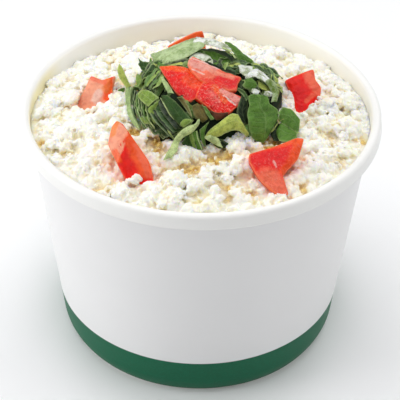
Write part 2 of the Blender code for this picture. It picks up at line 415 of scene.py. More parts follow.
def place(name: str, mesh: bpy.types.Mesh, material: bpy.types.Material, slot: str,
          *stands_for: str) -> bpy.types.Object:
    """Put a mesh into the scene as a finished piece of the object.

    Args:
        name: The piece's name.
        mesh: Its mesh, in metres and in place.
        material: Its finish.
        slot: The record's material slot that it belongs to, which is not used.
        stands_for: CAD nodes that it replaces.

    Returns:
        The new object.
    """
    piece = bpy.data.objects.new(name, mesh)
    bpy.context.scene.collection.objects.link(piece)
    mesh.materials.append(material)
    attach(piece, "root")
    if stands_for:
        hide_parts(*stands_for)
    log.info("%s: %d triangles", name, len(mesh.loops) - 2 * len(mesh.polygons))
    return piece


# ---------------------------------------------------------------- materials

def maths(operation: str, swapped: bool = False) -> Callable[..., "Wire"]:
    """Return a method for wires that adds one Math node.

    Args:
        operation: The node's operation.
        swapped: Whether the wire comes after the other number.

    Returns:
        The method. It takes the other number or wire, or nothing.
    """
    def method(wire: "Wire", *others: "Wire | float") -> "Wire":
        """Add the node and return its outcome."""
        values = (*others, wire) if swapped else (wire, *others)
        return wire.look.math(operation, *values)

    return method


class Wire:
    """A number that runs through a material: Python's operators on it add Math nodes."""

    __add__ = __radd__ = maths("ADD")
    __sub__ = maths("SUBTRACT")
    __rsub__ = maths("SUBTRACT", swapped=True)
    __mul__ = __rmul__ = maths("MULTIPLY")
    sine = maths("SINE")
    size = maths("ABSOLUTE")        # the value without its sign

    def __init__(self, look: "Look", socket: bpy.types.NodeSocket) -> None:
        """Wrap an output socket of one of the look's nodes."""
        self.look = look
        self.socket = socket

    def step(self, low: float, high: float) -> "Wire":
        """Return 0 below low, 1 above high, and a smooth S between them.

        Args:
            low: Value up to which the outcome is 0.
            high: Value from which on it is 1.

        Returns:
            The outcome.
        """
        sockets = {"Value": self, "From Min": low, "From Max": high}
        node = self.look.node("ShaderNodeMapRange", {"interpolation_type": "SMOOTHSTEP"}, sockets)
        return Wire(self.look, node.outputs["Result"])


class Look:
    """A material under construction round one Principled shader."""

    def __init__(self, name: str) -> None:
        """Start a material.

        Args:
            name: The material's name.
        """
        self.material = bpy.data.materials.new(name)
        self.material.use_nodes = True
        self.tree = self.material.node_tree
        self.shader = self.tree.nodes["Principled BSDF"]
        self.place = self.node("ShaderNodeTexCoord").outputs["Object"]

    def node(self, kind: str, settings: dict | None = None,
             sockets: dict | None = None) -> bpy.types.Node:
        """Add a node.

        Args:
            kind: The node's type.
            settings: Its properties, set before its sockets.
            sockets: Values, wires or output sockets for its inputs, by name or number.

        Returns:
            The node.
        """
        made = self.tree.nodes.new(kind)
        for key, value in (settings or {}).items():
            setattr(made, key, value)
        for key, value in (sockets or {}).items():
            self.feed(made.inputs[key], value)
        return made

    def feed(self, socket: bpy.types.NodeSocket, value: object) -> None:
        """Set an input socket to a value, or link it to a wire or an output socket.

        Args:
            socket: The input socket.
            value: What it gets.
        """
        if isinstance(value, Wire):
            value = value.socket
        if isinstance(value, bpy.types.NodeSocket):
            self.tree.links.new(value, socket)
        else:
            socket.default_value = value

    def math(self, operation: str, *values: "Wire | float") -> Wire:
        """Return the outcome of one Math node."""
        made = self.node("ShaderNodeMath", {"operation": operation}, dict(enumerate(values)))
        return Wire(self, made.outputs[0])

    def noise(self, size: float, detail: float = 2.0, rough: float = 0.5) -> Wire:
        """Return noise from 0 to 1 whose spots are about a size in millimetres."""
        sockets = {"Vector": self.place, "Scale": 1 / (size * MM), "Detail": detail, "Roughness": rough}
        return Wire(self, self.node("ShaderNodeTexNoise", None, sockets).outputs["Fac"])

    def cells(self, size: float) -> Wire:
        """Return the distance to the nearest of many scattered seeds, for crumbs of a size.

        Args:
            size: Usual distance between the seeds, in millimetres.

        Returns:
            The distance, in that size.
        """
        sockets = {"Vector": self.place, "Scale": 1 / (size * MM)}
        node = self.node("ShaderNodeTexVoronoi", {"feature": "F1"}, sockets)
        return Wire(self, node.outputs["Distance"])

    def mark(self, name: str) -> Wire:
        """Return a number that the mesh carries at its points."""
        return Wire(self, self.node("ShaderNodeAttribute", {"attribute_name": name}).outputs["Fac"])

    def tint(self, name: str) -> bpy.types.NodeSocket:
        """Return a colour that the mesh carries at its points."""
        return self.node("ShaderNodeAttribute", {"attribute_name": name}).outputs["Color"]

    def along(self, axis: str) -> Wire:
        """Return the place along X, Y or Z in millimetres, where Z is the height over the foot."""
        parts = self.node("ShaderNodeSeparateXYZ", None, {"Vector": self.place})
        return Wire(self, parts.outputs[axis]) * (1 / MM)

    def mix(self, share: "Wire | float", first: object, second: object,
            blend: str = "MIX") -> bpy.types.NodeSocket:
        """Return a mix of two colours.

        Args:
            share: How much of the second colour, from 0 to 1.
            first: A colour of three numbers or a colour socket.
            second: A colour of three numbers or a colour socket.
            blend: The Mix node's way of blending.

        Returns:
            The mixed colour.
        """
        colours = [(*c, 1.0) if isinstance(c, tuple) else c for c in (first, second)]
        sockets = {0: share, 6: colours[0], 7: colours[1]}
        made = self.node("ShaderNodeMix", {"data_type": "RGBA", "blend_type": blend}, sockets)
        return made.outputs[2]

    def bump(self, height: Wire, depth: float, strength: float = 1.0) -> bpy.types.NodeSocket:
        """Return a normal for a relief of a depth in millimetres."""
        sockets = {"Height": height, "Distance": depth * MM, "Strength": strength}
        return self.node("ShaderNodeBump", None, sockets).outputs["Normal"]

    def done(self, **sockets: object) -> bpy.types.Material:
        """Set the shader's inputs, named with underscores for spaces, and return the material.

        Args:
            sockets: Values, wires or output sockets for the inputs.

        Returns:
            The finished material.
        """
        for key, value in sockets.items():
            if isinstance(value, tuple):
                value = (*value, 1.0) if len(value) == 3 and key.endswith("Color") else value
            self.feed(self.shader.inputs[key.replace("_", " ")], value)
        return self.material


@dataclass(frozen=True)
class CoatedPaper:
    """White board with a thin glossy coat, a green printed band round its foot, and painted light and shade.
    """

    white: Colour = (0.85, 0.85, 0.85)
    grey: Colour = (0.80, 0.80, 0.80)
    bright: Colour = (0.93, 0.93, 0.91)         # the rolled rim, painted whiter as light on its crest
    cream: Colour = (0.95, 0.92, 0.83)          # the inside, lower down: cream with painted shade and warm bounce light
    rim_cream: Colour = (0.95, 0.94, 0.89)      # the inside, close to the rim, where painted light makes it paler
    lit_cream: Colour = (0.975, 0.97, 0.94)     # the inside, far on the left: painted light
    warm_yellow: Colour = (0.94, 0.86, 0.52)
    green: Colour = (0.001, 0.112, 0.050)
    light_green: Colour = (0.002, 0.132, 0.062)
    band_top: float = 14.6
    band_blur: float = 0.12
    rough: float = 0.40
    rim_foot: float = 77.0
    rim_blur: float = 0.3
    cream_fade: Pair = (76.0, 81.0)             # heights
    lit_fade: Pair = (25.0, 46.0)               # distances to the left, for the painted light
    yellow_fade: Pair = (45.5, 51.5)              # distances to the left
    yellow_top: Pair = (80.5, 84.0)               # heights

    def material(self) -> bpy.types.Material:
        """Return the paper's material.

        Returns:
            The material, which reads the paper's mark for its outside.
        """
        look = Look("coated_paper")
        fibre = look.noise(0.7, 4.0, 0.6)
        cloud = look.noise(14.0, 2.0)
        height = look.along("Z")
        edge = height + (look.noise(2.5) - 0.5) * 0.10
        band = 1 - edge.step(self.band_top - self.band_blur, self.band_top + self.band_blur)
        outside = look.mark("outside")
        white = look.mix(cloud.step(0.35, 0.7) * 0.10, self.white, self.grey)
        # The rim's crest is painted whiter, and the inside paler near the rim and on the left: painted
        # light.
        on_rim = height.step(self.rim_foot - self.rim_blur, self.rim_foot + self.rim_blur)
        white = look.mix(on_rim, white, self.bright)
        inner = look.mix(height.step(*self.cream_fade), self.cream, self.rim_cream)
        left = look.along("X") * -1
        inner = look.mix(left.step(*self.lit_fade), inner, self.lit_cream)
        # Low on the inside's left the paper turns warm yellow.
        stain = left.step(*self.yellow_fade) * (1 - (height + cloud * 3.0).step(*self.yellow_top))
        inner = look.mix(stain * 0.8, inner, self.warm_yellow)
        ink = look.mix(fibre.step(0.35, 0.75), self.green, self.light_green)
        colour = look.mix(outside, inner, look.mix(band, white, ink))
        relief = look.bump(fibre + cloud * 2.0, 0.03, 0.5)
        return look.done(Base_Color=colour, Roughness=self.rough + (fibre - 0.5) * 0.12 + band * 0.08,
                         Normal=relief, Coat_Weight=(1 - band) * 0.24, Coat_Roughness=0.22,
                         Specular_IOR_Level=0.22)


@dataclass(frozen=True)
class MoistCurd:
    """Fresh curd: white bumps, painted warm shade in gaps and creases, golden patches, pink by the tomato.
    """

    white: Colour = (0.94, 0.935, 0.885)
    cream: Colour = (0.92, 0.88, 0.74)
    # warm yellow: painted shade deep in the gaps
    warm_yellow: Colour = (0.86, 0.76, 0.46)
    butter: Colour = (0.52, 0.29, 0.05)
    honey: Colour = (0.86, 0.64, 0.22)
    blush: Colour = (0.95, 0.58, 0.44)

    def material(self, name: str, depth: float) -> bpy.types.Material:
        """Return the curd's material.

        Args:
            name: The material's name.
            depth: How much of the light goes through the curd: none in a crumb that is as
                small as the way the light takes, or it would turn blue.

        Returns:
            The material.
        """
        look = Look(name)
        cloud = look.noise(7.0, 3.0)
        spot = look.noise(1.6, 3.0, 0.6)
        fine = look.noise(0.6, 3.0, 0.6)
        gap, gold, crease = look.mark("gap"), look.mark("gold"), look.mark("crease")
        # Cream in the creases between crumbs is painted shade; the cloud and the spots are tone.
        creamy = cloud.step(0.38, 0.70) * 0.45 + spot.step(0.45, 0.7) * 0.25 + crease * 0.35
        colour = look.mix(creamy, self.white, self.cream)
        # Deep in the gaps the curd turns warm yellow: painted shade.
        gap_shade = (gap * (0.45 + cloud.step(0.4, 0.6) * 0.75)).step(0.10, 0.95) * 0.56
        colour = look.mix(gap_shade, colour, self.warm_yellow)
        mottled = look.mix((spot + (fine - 0.5) * 0.4).step(0.42, 0.60), self.butter, self.honey)
        golden = (gap * 0.9 + spot.step(0.4, 0.7) * 0.35 + 0.15).step(0.0, 0.9)
        colour = look.mix(golden * gold, colour, mottled)
        colour = look.mix(look.mark("pink") * (0.30 + gap * 0.6), colour, self.blush)
        rough = 0.46 + fine.step(0.3, 0.7) * 0.22
        crumb = look.cells(0.8) * -0.7 + look.cells(0.38) * -0.2
        relief = look.bump(crumb + fine * 0.3 + spot * 0.4, 0.09, 0.7)
        return look.done(Base_Color=colour, Roughness=rough, Normal=relief, Subsurface_Weight=depth,
                         Subsurface_Radius=(1.0, 0.86, 0.50), Subsurface_Scale=2.3 * MM, IOR=1.38,
                         Specular_IOR_Level=0.30)


@dataclass(frozen=True)
class LeafSkin:
    """Cut leaf: veins and blotches on the piece's own tone, pale cut edges, a waxy gloss and painted
    highlights.
    """

    edge: Colour = (0.52, 0.66, 0.30)
    under: Colour = (0.30, 0.42, 0.17)
    # white for painted highlights
    shine: Colour = (0.86, 0.90, 0.86)
    shaded: Colour = (0.58, 0.62, 0.46)         # factors on the tone, at its darkest and lightest
    sunlit: Colour = (1.28, 1.22, 1.1)
    vein_pitch: float = 1.7

    def material(self) -> bpy.types.Material:
        """Return the leaves' material.

        Returns:
            The material, which reads the leaves' marks.
        """
        look = Look("leaf_skin")
        tone = look.tint("tone")
        across, along = look.mark("across"), look.mark("along")
        blotch = look.noise(2.2, 3.0, 0.6)
        fine = look.noise(0.45, 2.0)
        run = (along + across.size() * 2.2 + (blotch - 0.5) * 1.5) * (math.tau / self.vein_pitch)
        vein = run.sine().step(0.80, 0.99) * 0.55
        rib = 1 - across.size().step(0.03, 0.10)
        shade = look.mix((blotch * 0.6 + fine * 0.4).step(0.36, 0.62), self.shaded, self.sunlit)
        colour = look.mix(0.8, tone, shade, "MULTIPLY")
        pale = look.mix(0.30, tone, self.edge)
        colour = look.mix(vein * look.mark("veined"), colour, pale)
        colour = look.mix(rib * look.mark("veined") * 0.7, colour, pale)
        colour = look.mix(look.mark("below") * 0.55, colour, self.under)
        colour = look.mix(look.mark("rim") * (0.35 + fine * 0.6), colour, self.edge)
        # Where a leaf has shine, white blotches are painted on: painted highlights.
        colour = look.mix(look.mark("shine") * blotch.step(0.34, 0.60), colour, self.shine)
        relief = look.bump(vein * -0.8 + rib * 0.6 + blotch * 0.6 + fine * 0.25, 0.22, 0.8)
        rough = 0.50 - look.mark("shine") * 0.28 + (fine - 0.5) * 0.25
        return look.done(Base_Color=colour, Roughness=rough, Normal=relief, Specular_IOR_Level=0.13,
                         Coat_Weight=look.mark("shine") * 0.3, Coat_Roughness=0.2, Subsurface_Weight=0.10,
                         Subsurface_Scale=0.5 * MM, Subsurface_Radius=(0.6, 1.0, 0.2))


@dataclass(frozen=True)
class TomatoFlesh:
    """Wet cut tomato: its own tones over the piece, painted highlight streaks and edges, and a juicy gloss.
    """

    # painted highlight streaks
    streak_glint: Colour = (0.95, 0.46, 0.36)
    deep: Colour = (0.50, 0.008, 0.008)
    # painted highlight along the cut edge
    edge: Colour = (0.94, 0.26, 0.10)

    def material(self) -> bpy.types.Material:
        """Return the tomato's material.

        Returns:
            The material, which reads the tomato pieces' marks.
        """
        look = Look("tomato_flesh")
        tone = look.tint("tone")
        cut = look.mark("cut")
        cloud = look.noise(2.4, 3.0, 0.6)
        fine = look.noise(0.7, 3.0, 0.65)
        colour = look.mix(cloud.step(0.35, 0.75) * 0.35 * cut, tone, self.deep)
        glints_and_flecks = look.mark("glints_and_flecks")
        vein = look.noise(1.1, 2.0, 0.6)
        # Thin pale streaks on the cut face are painted highlights, with dark flecks between them.
        streak = (1 - (vein - 0.5).size().step(0.010, 0.055)) * fine.step(0.42, 0.60)
        colour = look.mix(streak * glints_and_flecks, colour, self.streak_glint)
        colour = look.mix((1 - fine.step(0.34, 0.50)) * glints_and_flecks, colour, self.deep)
        relief = look.bump(fine * 0.8 + cloud * 1.0 + streak * 0.3, 0.24, 0.8)
        # A band along the piece's edge is painted paler: painted highlight.
        colour = look.mix(look.mark("rim") * 0.55, colour, self.edge)
        rough = 0.32 - cut * 0.08 + (fine - 0.5) * 0.2
        return look.done(Base_Color=colour, Roughness=rough, Normal=relief, Specular_IOR_Level=0.16,
                         Coat_Weight=0.08, Coat_Roughness=0.10, Subsurface_Weight=0.20,
                         Subsurface_Scale=1.0 * MM, Subsurface_Radius=(1.0, 0.20, 0.10))


@dataclass(frozen=True)
class PaleFloor:
    """The studio's plain white floor."""

    white: Colour = (0.93, 0.935, 0.945)
    grey: Colour = (0.9, 0.9, 0.9)

    def material(self) -> bpy.types.Material:
        """Return the floor's material.

        Returns:
            The material.
        """
        look = Look("pale_floor")
        cloud = look.noise(60.0, 2.0)
        return look.done(Base_Color=look.mix(cloud * 0.04, self.white, self.grey), Roughness=0.55)


# ---------------------------------------------------------------- where things are

@dataclass(frozen=True)
class Sight:
    """The photograph's camera, and the way from its pixels to places in space."""

    place: Spot = (0.0, -404.80, 355.88)
    yaw: float = -0.0326
    pitch: float = 52.41
    roll: float = 0.938
    lens: float = 138.79
    sensor: float = 36.0
    search: Spot = (24.0, -14.0, -0.05)         # heights over the rim, and step

    def turn(self) -> Matrix:
        """Return the camera's rotation: it rolls, then tips up from straight down, then yaws.

        Returns:
            The rotation from the camera's axes to the tub's.
        """
        turns = ((self.yaw, "Z"), (self.pitch, "X"), (self.roll, "Z"))
        first, second, third = (Matrix.Rotation(math.radians(angle), 3, axis) for angle, axis in turns)
        return first @ second @ third

    def rays(self, spots: Array) -> Array:
        """Return the direction of the line of sight through each spot's pixel.

        Args:
            spots: Pixels, one a row, whose heights don't count.

        Returns:
            One direction for each spot, as long as it takes to go one unit ahead.
        """
        right, up, back = (np.array(column) for column in self.turn().transposed())
        focal = PHOTO * self.lens / self.sensor
        sideways = (spots[:, :1] - PHOTO / 2) / focal
        upwards = (PHOTO / 2 - spots[:, 1:2]) / focal
        return right * sideways + up * upwards - back

    def over_rim(self, spots: Sequence[Spot]) -> Array:
        """Return the places seen at some pixels, whose third number is a height over the rim.

        Args:
            spots: Pixels, each with a height over the rim.

        Returns:
            One place for each spot.
        """
        spots = np.asarray(spots, float)
        rays = self.rays(spots)
        reach = (RIM + spots[:, 2] - self.place[2]) / rays[:, 2]
        return np.array(self.place) + rays * reach[:, None]

    def on_heap(self, spots: Sequence[Spot], heap: Callable[[Array, Array], Array]) -> Array:
        """Return the places seen at some pixels on a heap.

        Every line of sight is followed down in small steps, to the first that lies under the
        heap's surface.

        Args:
            spots: Pixels, with a distance over the heap's surface.
            heap: Height of the heap over x and y.

        Returns:
            One place for each spot.
        """
        spots = np.asarray(spots, float)
        rays = self.rays(spots)
        heights = np.arange(*self.search)
        reach = (RIM + heights[None] - self.place[2]) / rays[:, 2:]
        places = np.array(self.place) + rays[:, None] * reach[..., None]
        under = places[..., 2] <= heap(places[..., 0], places[..., 1]) + spots[:, 2:]
        first = np.argmax(under, axis=1)
        return places[np.arange(len(spots)), first]


@dataclass(frozen=True)
class TubShape:
    """Sizes of the paper tub."""

    rim_radius: float = 57.5
    top_radius: float = 54.25
    top_z: float = 77.5
    foot_radius: float = 46.2
    foot_z: float = 6.0
    foot_crimp: float = 2.0
    knee_z: float = 3.0
    bend: float = 0.6
    paper: float = 0.5
    gap: float = 0.3
    base_z: float = 6.6

    def wall(self, z: Array | float) -> Array | float:
        """Return the wall's outer radius at a height: a cone that draws in at the foot.

        Args:
            z: Heights over the foot.

        Returns:
            One radius for each height.
        """
        slope = (self.top_radius - self.foot_radius) / (self.top_z - self.foot_z)
        drawn = self.foot_crimp * np.clip(1 - z / self.foot_z, 0, None) ** 2
        return self.foot_radius + slope * (z - self.foot_z) - drawn

    def sheet(self, z: float, layer: int) -> float:
        """Return the middle of the paper: layer 0 is the wall, 1 the flange, 2 the inner fold."""
        return float(self.wall(z)) - self.paper / 2 - layer * (self.paper + self.gap)


@dataclass(frozen=True)
class HeapShape:
    """Levels of the curd and of the leaves on it, as in the CAD model."""

    front_level: float = -1.5
    back_drop: float = 7.0
    back_curve: float = 2.2
    dome: float = 5.0
    lumps: float = 1.4
    herb_x: float = 1.0
    herb_radius: float = 26.0
    lobes: tuple[Spot, ...] = ((1, 2.6, 0.45), (3, 1.1, -0.6), (5, 0.8, -1.57))
    rise: float = 11.5
    edge: float = 1.4
    herb_lumps: float = 0.9

    def level(self, x: Array, y: Array) -> Array:
        """Return the curd's height without lumps: it falls towards the far wall and is domed.

        Args:
            x: Places' X.
            y: Places' Y.

        Returns:
            One height over the foot for each place.
        """
        reach = TubShape.top_radius
        back = np.clip((1 + y / reach) / 2, 0, 1)
        dome = self.dome * (1 - (x * x + y * y) / reach**2)
        return RIM + self.front_level - self.back_drop * back**self.back_curve + dome

    @staticmethod
    def waves(x: Array, y: Array, height: float) -> Array:
        """Return the mean of three crossing waves, as unevenness of a height.

        Args:
            x: Places' X.
            y: Places' Y.
            height: Greatest height of the unevenness.

        Returns:
            One height for each place.
        """
        first = np.sin(0.52 * x + 0.21 * y + 0.7)
        second = np.sin(-0.24 * x + 0.63 * y + 2.1)
        third = np.sin(0.41 * x - 0.47 * y + 4.0)
        return height * (first + second + third) / 3

    def reach(self, angle: Array | float) -> Array | float:
        """Return how far the leaves' outline is from their middle, in some directions."""
        return self.herb_radius + sum(size * np.cos(n * angle + shift) for n, size, shift in self.lobes)

    def share(self, x: Array, y: Array) -> Array:
        """Return how far out a place lies, where 1 is the outline of the leaves' heap."""
        return np.hypot(x - self.herb_x, y) / self.reach(np.arctan2(y, x - self.herb_x))

    def curd(self, x: Array, y: Array) -> Array:
        """Return the height of the curd."""
        return self.level(x, y) + self.waves(x, y, self.lumps)

    def top(self, x: Array, y: Array) -> Array:
        """Return the height of whatever lies on top, leaves or curd.

        Args:
            x: Places' X.
            y: Places' Y.

        Returns:
            One height over the foot for each place.
        """
        share = self.share(x, y)
        inside = np.clip(1 - share * share, 0, 1)
        bed = self.level(x, y) + self.waves(x, y, self.lumps) * share
        herb = bed + self.edge + self.rise * inside**0.8 + self.waves(3 * x, 3 * y, self.herb_lumps)
        return np.where(share < 1, np.maximum(herb, self.curd(x, y)), self.curd(x, y))


# ---------------------------------------------------------------- the paper tub

@dataclass
class PaperTub:
    """The tub: one sheet that is rolled at the rim and folded in at the foot, and a base disc."""

    shape: TubShape
    steps: int = 288
    crest_radius: float = 1.3
    crest_top: float = 80.45
    lip_radius: float = 0.62
    lip_lift: float = 0.35
    lip_proud: float = 0.32
    lip_tuck: Pair = (1.35, 0.30)   # from the bead's middle in to the paper's end
    bend_z: float = 0.9             # height where the foot's bends start
    disc_bend: float = 0.8          # radius of the bend round the base disc
    seam_step: float = 0.42
    seam_turn: float = math.radians(97)
    seam_fade: float = math.radians(16)

    def sheet_line(self) -> Array:
        """Return the middle of the paper from the rim's hidden end to the foot's inner fold.

        The rim is a lower bead and an upper roll, both arcs, with a short flat face between; the
        wall is a straight cone; the foot bends in along the wall's own curve and folds up inside.

        Returns:
            Radii and heights, one point a row.
        """
        shape = self.shape
        outer = shape.rim_radius - shape.paper / 2 - 0.04
        lip_x, lip_z = outer - self.lip_radius, shape.top_z + self.lip_lift
        crest_x = outer - self.lip_proud - self.crest_radius
        tuck = [(lip_x - self.lip_tuck[0], lip_z + self.lip_tuck[1])]
        bead = arc((lip_x, lip_z), self.lip_radius, np.linspace(-150, 20, 12))
        roll = arc((crest_x, self.crest_top), self.crest_radius, np.linspace(0, 172, 18))
        heights = np.concatenate([np.linspace(shape.top_z + 1.0, shape.foot_z, 26),
                                  np.linspace(shape.foot_z - 0.5, self.bend_z, 10)])
        wall = np.array([(shape.sheet(z, 0), z) for z in heights])
        low = shape.paper / 2
        turn = np.radians(np.linspace(0, 90, 5))
        drop = self.bend_z - low
        corner = np.stack([shape.sheet(low, 0) - shape.bend * np.sin(turn),
                           self.bend_z - drop * np.sin(turn)], 1)[1:]
        rise = np.stack([shape.sheet(low, 2) + shape.bend * np.cos(turn),
                         low + drop * (1 - np.cos(turn))], 1)
        fold = np.array([(shape.sheet(z, 2), z) for z in np.linspace(1.4, shape.base_z - 0.8, 8)])
        return np.concatenate([tuck, bead, roll, wall, corner, rise, fold])

    def thickened(self, line: Array) -> Array:
        """Return the closed outline of a sheet round its middle line, with rounded ends.

        Args:
            line: Radii and heights of the middle line.

        Returns:
            Radii and heights of the outline.
        """
        ahead = unit(np.gradient(line, axis=0))
        side = np.stack([-ahead[:, 1], ahead[:, 0]], axis=1) * (self.shape.paper / 2)
        caps = ahead[[0, -1]] * (self.shape.paper / 2 * 0.8)
        return np.concatenate([line[:1] - caps[:1], line + side, line[-1:] + caps[1:], (line - side)[::-1]])

    def turned(self, outline: Array) -> Skin:
        """Carry an outline round Z.

        A point at radius r and height z goes to (r cos a, r sin a, z) for each angle a. Where the
        sheet's ends overlap, a step raises the outside and fades away round the tub.

        Args:
            outline: Radii and heights of the closed outline.

        Returns:
            The turned ring, with a mark on what faces outwards.
        """
        angles = np.linspace(0, math.tau, self.steps, endpoint=False)
        radius = np.broadcast_to(outline[:, 0], (self.steps, len(outline)))
        height = np.broadcast_to(outline[:, 1], radius.shape)
        middle = self.shape.wall(height) - self.shape.paper / 2
        outside = (radius > middle + 0.02).astype(float)
        past = (angles - self.seam_turn) % math.tau
        step = np.exp(-past / self.seam_fade)[:, None]
        on_wall = (height < self.shape.top_z - 0.5) * (height > 1.5) * (radius > self.shape.sheet(6, 1))
        radius = radius + self.seam_step * step * on_wall * smoothstep(1.5, 6, height)
        points = around(radius, angles[:, None], height)
        return Skin.of_rings(points, Ends.LOOP, {"outside": outside})

    def base(self) -> Skin:
        """Return the base disc, whose rim bends down as a flange between the wall and the fold.

        Returns:
            The closed disc with its flange.
        """
        shape = self.shape
        corner = shape.sheet(shape.base_z, 1)
        middle = (corner - self.disc_bend, shape.base_z - self.disc_bend)
        bend = arc(middle, self.disc_bend, np.linspace(90, 10, 7))
        heights = np.linspace(shape.base_z - 0.9, shape.knee_z, 6)
        flange = np.array([(shape.sheet(z, 1), z) for z in heights])
        flat = np.array([(r, shape.base_z) for r in np.linspace(0.6, corner - 1.4, 12)])
        outline = self.thickened(np.concatenate([flat, bend, flange]))[1:]
        angles = np.linspace(0, math.tau, self.steps // 2, endpoint=False)
        rings = around(outline[:, :1], angles, outline[:, 1:])
        return Skin.of_rings(rings, Ends.POLE, {"outside": np.zeros(rings.shape[:2])})

    def build(self) -> None:
        """Make the wall and the base, and put them in place of their CAD nodes."""
        finish = CoatedPaper().material()
        wall = self.turned(self.thickened(self.sheet_line()))
        place("paper_wall", wall.to_mesh("paper_wall"), finish, "coated_paper", "tub_wall")
        place("paper_base", self.base().to_mesh("paper_base"), finish, "coated_paper", "tub_base")


# ---------------------------------------------------------------- the tomato pieces

class Flesh(Enum):
    """Tones of tomato, as linear colours."""

    RED = (0.90, 0.016, 0.008)
    DEEP = (0.78, 0.008, 0.012)
    CORAL = (0.93, 0.190, 0.100)
    ORANGE = (0.98, 0.125, 0.018)
    AMBER = (0.96, 0.290, 0.060)
    SALMON = (0.96, 0.400, 0.250)
    PINK = (0.84, 0.440, 0.370)
    # pale white: painted glints on the cut faces; on tomato_left, a patch of curd
    WHITE = (0.90, 0.780, 0.700)


@dataclass(frozen=True)
class Stain:
    """A stretch of another tone: a band between two pixels with a soft edge."""

    tone: Flesh
    start: Pair
    end: Pair
    radius: float
    strength: float = 1.0


@dataclass(frozen=True)
class TomatoPiece:
    """One cut piece: a slab with a keel, whose outline is in the plane of its upper face."""

    name: str
    centre: Spot
    turn: Spot
    keel: float
    taper: float
    crown: float
    outline: tuple[Pair, ...]
    tone: Flesh = Flesh.RED
    stains: tuple[Stain, ...] = ()
    ridge: tuple[Pair, ...] = ()
    facet: Flesh = Flesh.SALMON     # tone right of the ridge, seen from its start: painted light
    relief: float = 0.22
    glints_and_flecks: float = 0.0            # how strongly painted highlight streaks and dark flecks show on the cut face
    ridge_rise: float = 1.0
    ridge_reach: float = 4.5
    corner: float = 0.10            # share of a side that the first rounding of a corner takes
    steps: int = 132
    headroom: float = 8.0           # how far over the face something still belongs to the piece

    def matrix(self) -> Array:
        """Return the columns of the piece's rotation."""
        return np.array(Euler([math.radians(angle) for angle in self.turn], "XYZ").to_matrix())

    def to_world(self, points: Array) -> Array:
        """Return the piece's own points in the tub's frame."""
        return points @ self.matrix().T + self.centre + np.array((0, 0, RIM))

    def to_local(self, points: Array) -> Array:
        """Return points of the tub's frame in the piece's own."""
        return (points - self.centre - np.array((0, 0, RIM))) @ self.matrix()

    def seen(self, pixels: Sequence[Pair], sight: Sight) -> Array:
        """Return where some pixels' lines of sight meet the piece's face, in its own plane.

        Args:
            pixels: Columns and rows in the photograph.
            sight: Its camera.

        Returns:
            One place for each pixel, with two columns.
        """
        spots = np.array([(*pixel, 0.0) for pixel in pixels])
        rays = sight.rays(spots) @ self.matrix()
        eye = self.to_local(np.array(sight.place)[None])
        return (eye - rays * (eye[:, 2:] / rays[:, 2:]))[:, :2]

    def border(self, count: int) -> Array:
        """Return the piece's rounded outline as points at equal distances.

        Args:
            count: How many points to return.

        Returns:
            The points, with two columns.
        """
        corners = np.array(self.outline)
        after = np.roll(corners, -1, axis=0)
        area = np.sum(corners[:, 0] * after[:, 1] - after[:, 0] * corners[:, 1])
        return along_outline(rounded(corners if area > 0 else corners[::-1], self.corner, 4), count)

    def under(self, line: Array) -> bool:
        """Return whether a line of points runs over the piece's face.

        Args:
            line: Points in the tub's frame.

        Returns:
            Whether at least one of them does.
        """
        local = self.to_local(line)
        border = self.border(40)
        wider = border * 1.08 - border.mean(axis=0) * 0.08
        close = (local[:, 2] > -1.0) & (local[:, 2] < self.headroom)
        return bool(np.any(within(wider, local[:, :2]) & close))

    def profile(self) -> Array:
        """Return sizes and heights of the rings, from the keel round the edge to the crown.

        Returns:
            For each ring its share of the outline's size, and its height.
        """
        side = [(0.02, -self.keel), (0.30 * self.taper, -0.99 * self.keel),
                (0.62 * self.taper, -0.93 * self.keel), (self.taper, -0.62 * self.keel),
                (0.99, -0.25 * self.keel), (1.0, -0.45)]
        edge = [(1.0, -0.45), (0.995, -0.16), (0.972, -0.02), (0.94, 0.03)]
        face = [(0.94, 0.03), (0.62, 0.72 * self.crown), (0.30, 0.95 * self.crown), (0.02, self.crown)]
        lines = [curve(np.array(side), 20), curve(np.array(edge), 6)[1:], curve(np.array(face), 26)[1:]]
        return np.concatenate(lines)

    def skin(self, sight: Sight, noise: Grain) -> Skin:
        """Loft the piece.

        Each ring is the outline shrunk towards its middle to the profile's size, at the profile's
        height. The cut face then gets a granular relief, and a ridge where the piece has one.

        Args:
            sight: The camera through which stains and ridge were read.
            noise: Noise for the relief.

        Returns:
            The closed piece with its tones.
        """
        border = self.border(self.steps)
        middle = border.mean(axis=0)
        rows = self.profile()
        flat = middle + (border - middle)[None] * rows[:, 0][:, None, None]
        height = np.broadcast_to(rows[:, 1][:, None], flat.shape[:2]).copy()
        cut = np.broadcast_to(smoothstep(-0.15, 0.02, rows[:, 1])[:, None], height.shape)
        tone = np.broadcast_to(np.array(self.tone.value), (*height.shape, 3)).copy()
        if self.ridge:
            line = self.seen(self.ridge, sight)
            away = distance_to(line, flat)
            height += self.ridge_rise * cut * np.clip(1 - away / self.ridge_reach, 0, 1)
            # The side right of the ridge takes the facet's paler tone: painted light on that facet.
            share = smoothstep(-0.10, 0.10, np.where(left_of(line, flat), -away, away))[..., None]
            tone = tone * (1 - share) + np.array(self.facet.value) * share
        spots = np.concatenate([flat, height[..., None]], axis=-1)
        wave = noise(spots + self.centre[0], 1.5) + 0.7 * noise(spots + 31, 0.7)
        height += self.relief * wave * cut
        height += 0.5 * self.relief * noise(spots + 17, 3.0)
        local = np.concatenate([flat, height[..., None]], axis=-1)
        for stain in self.stains:
            line = self.seen((stain.start, stain.end), sight)
            near = 1 - smoothstep(0.55, 1.25, distance_to(line, flat) / stain.radius + 0.25 * wave)
            share = (near * stain.strength)[..., None]
            tone = tone * (1 - share) + np.array(stain.tone.value) * share
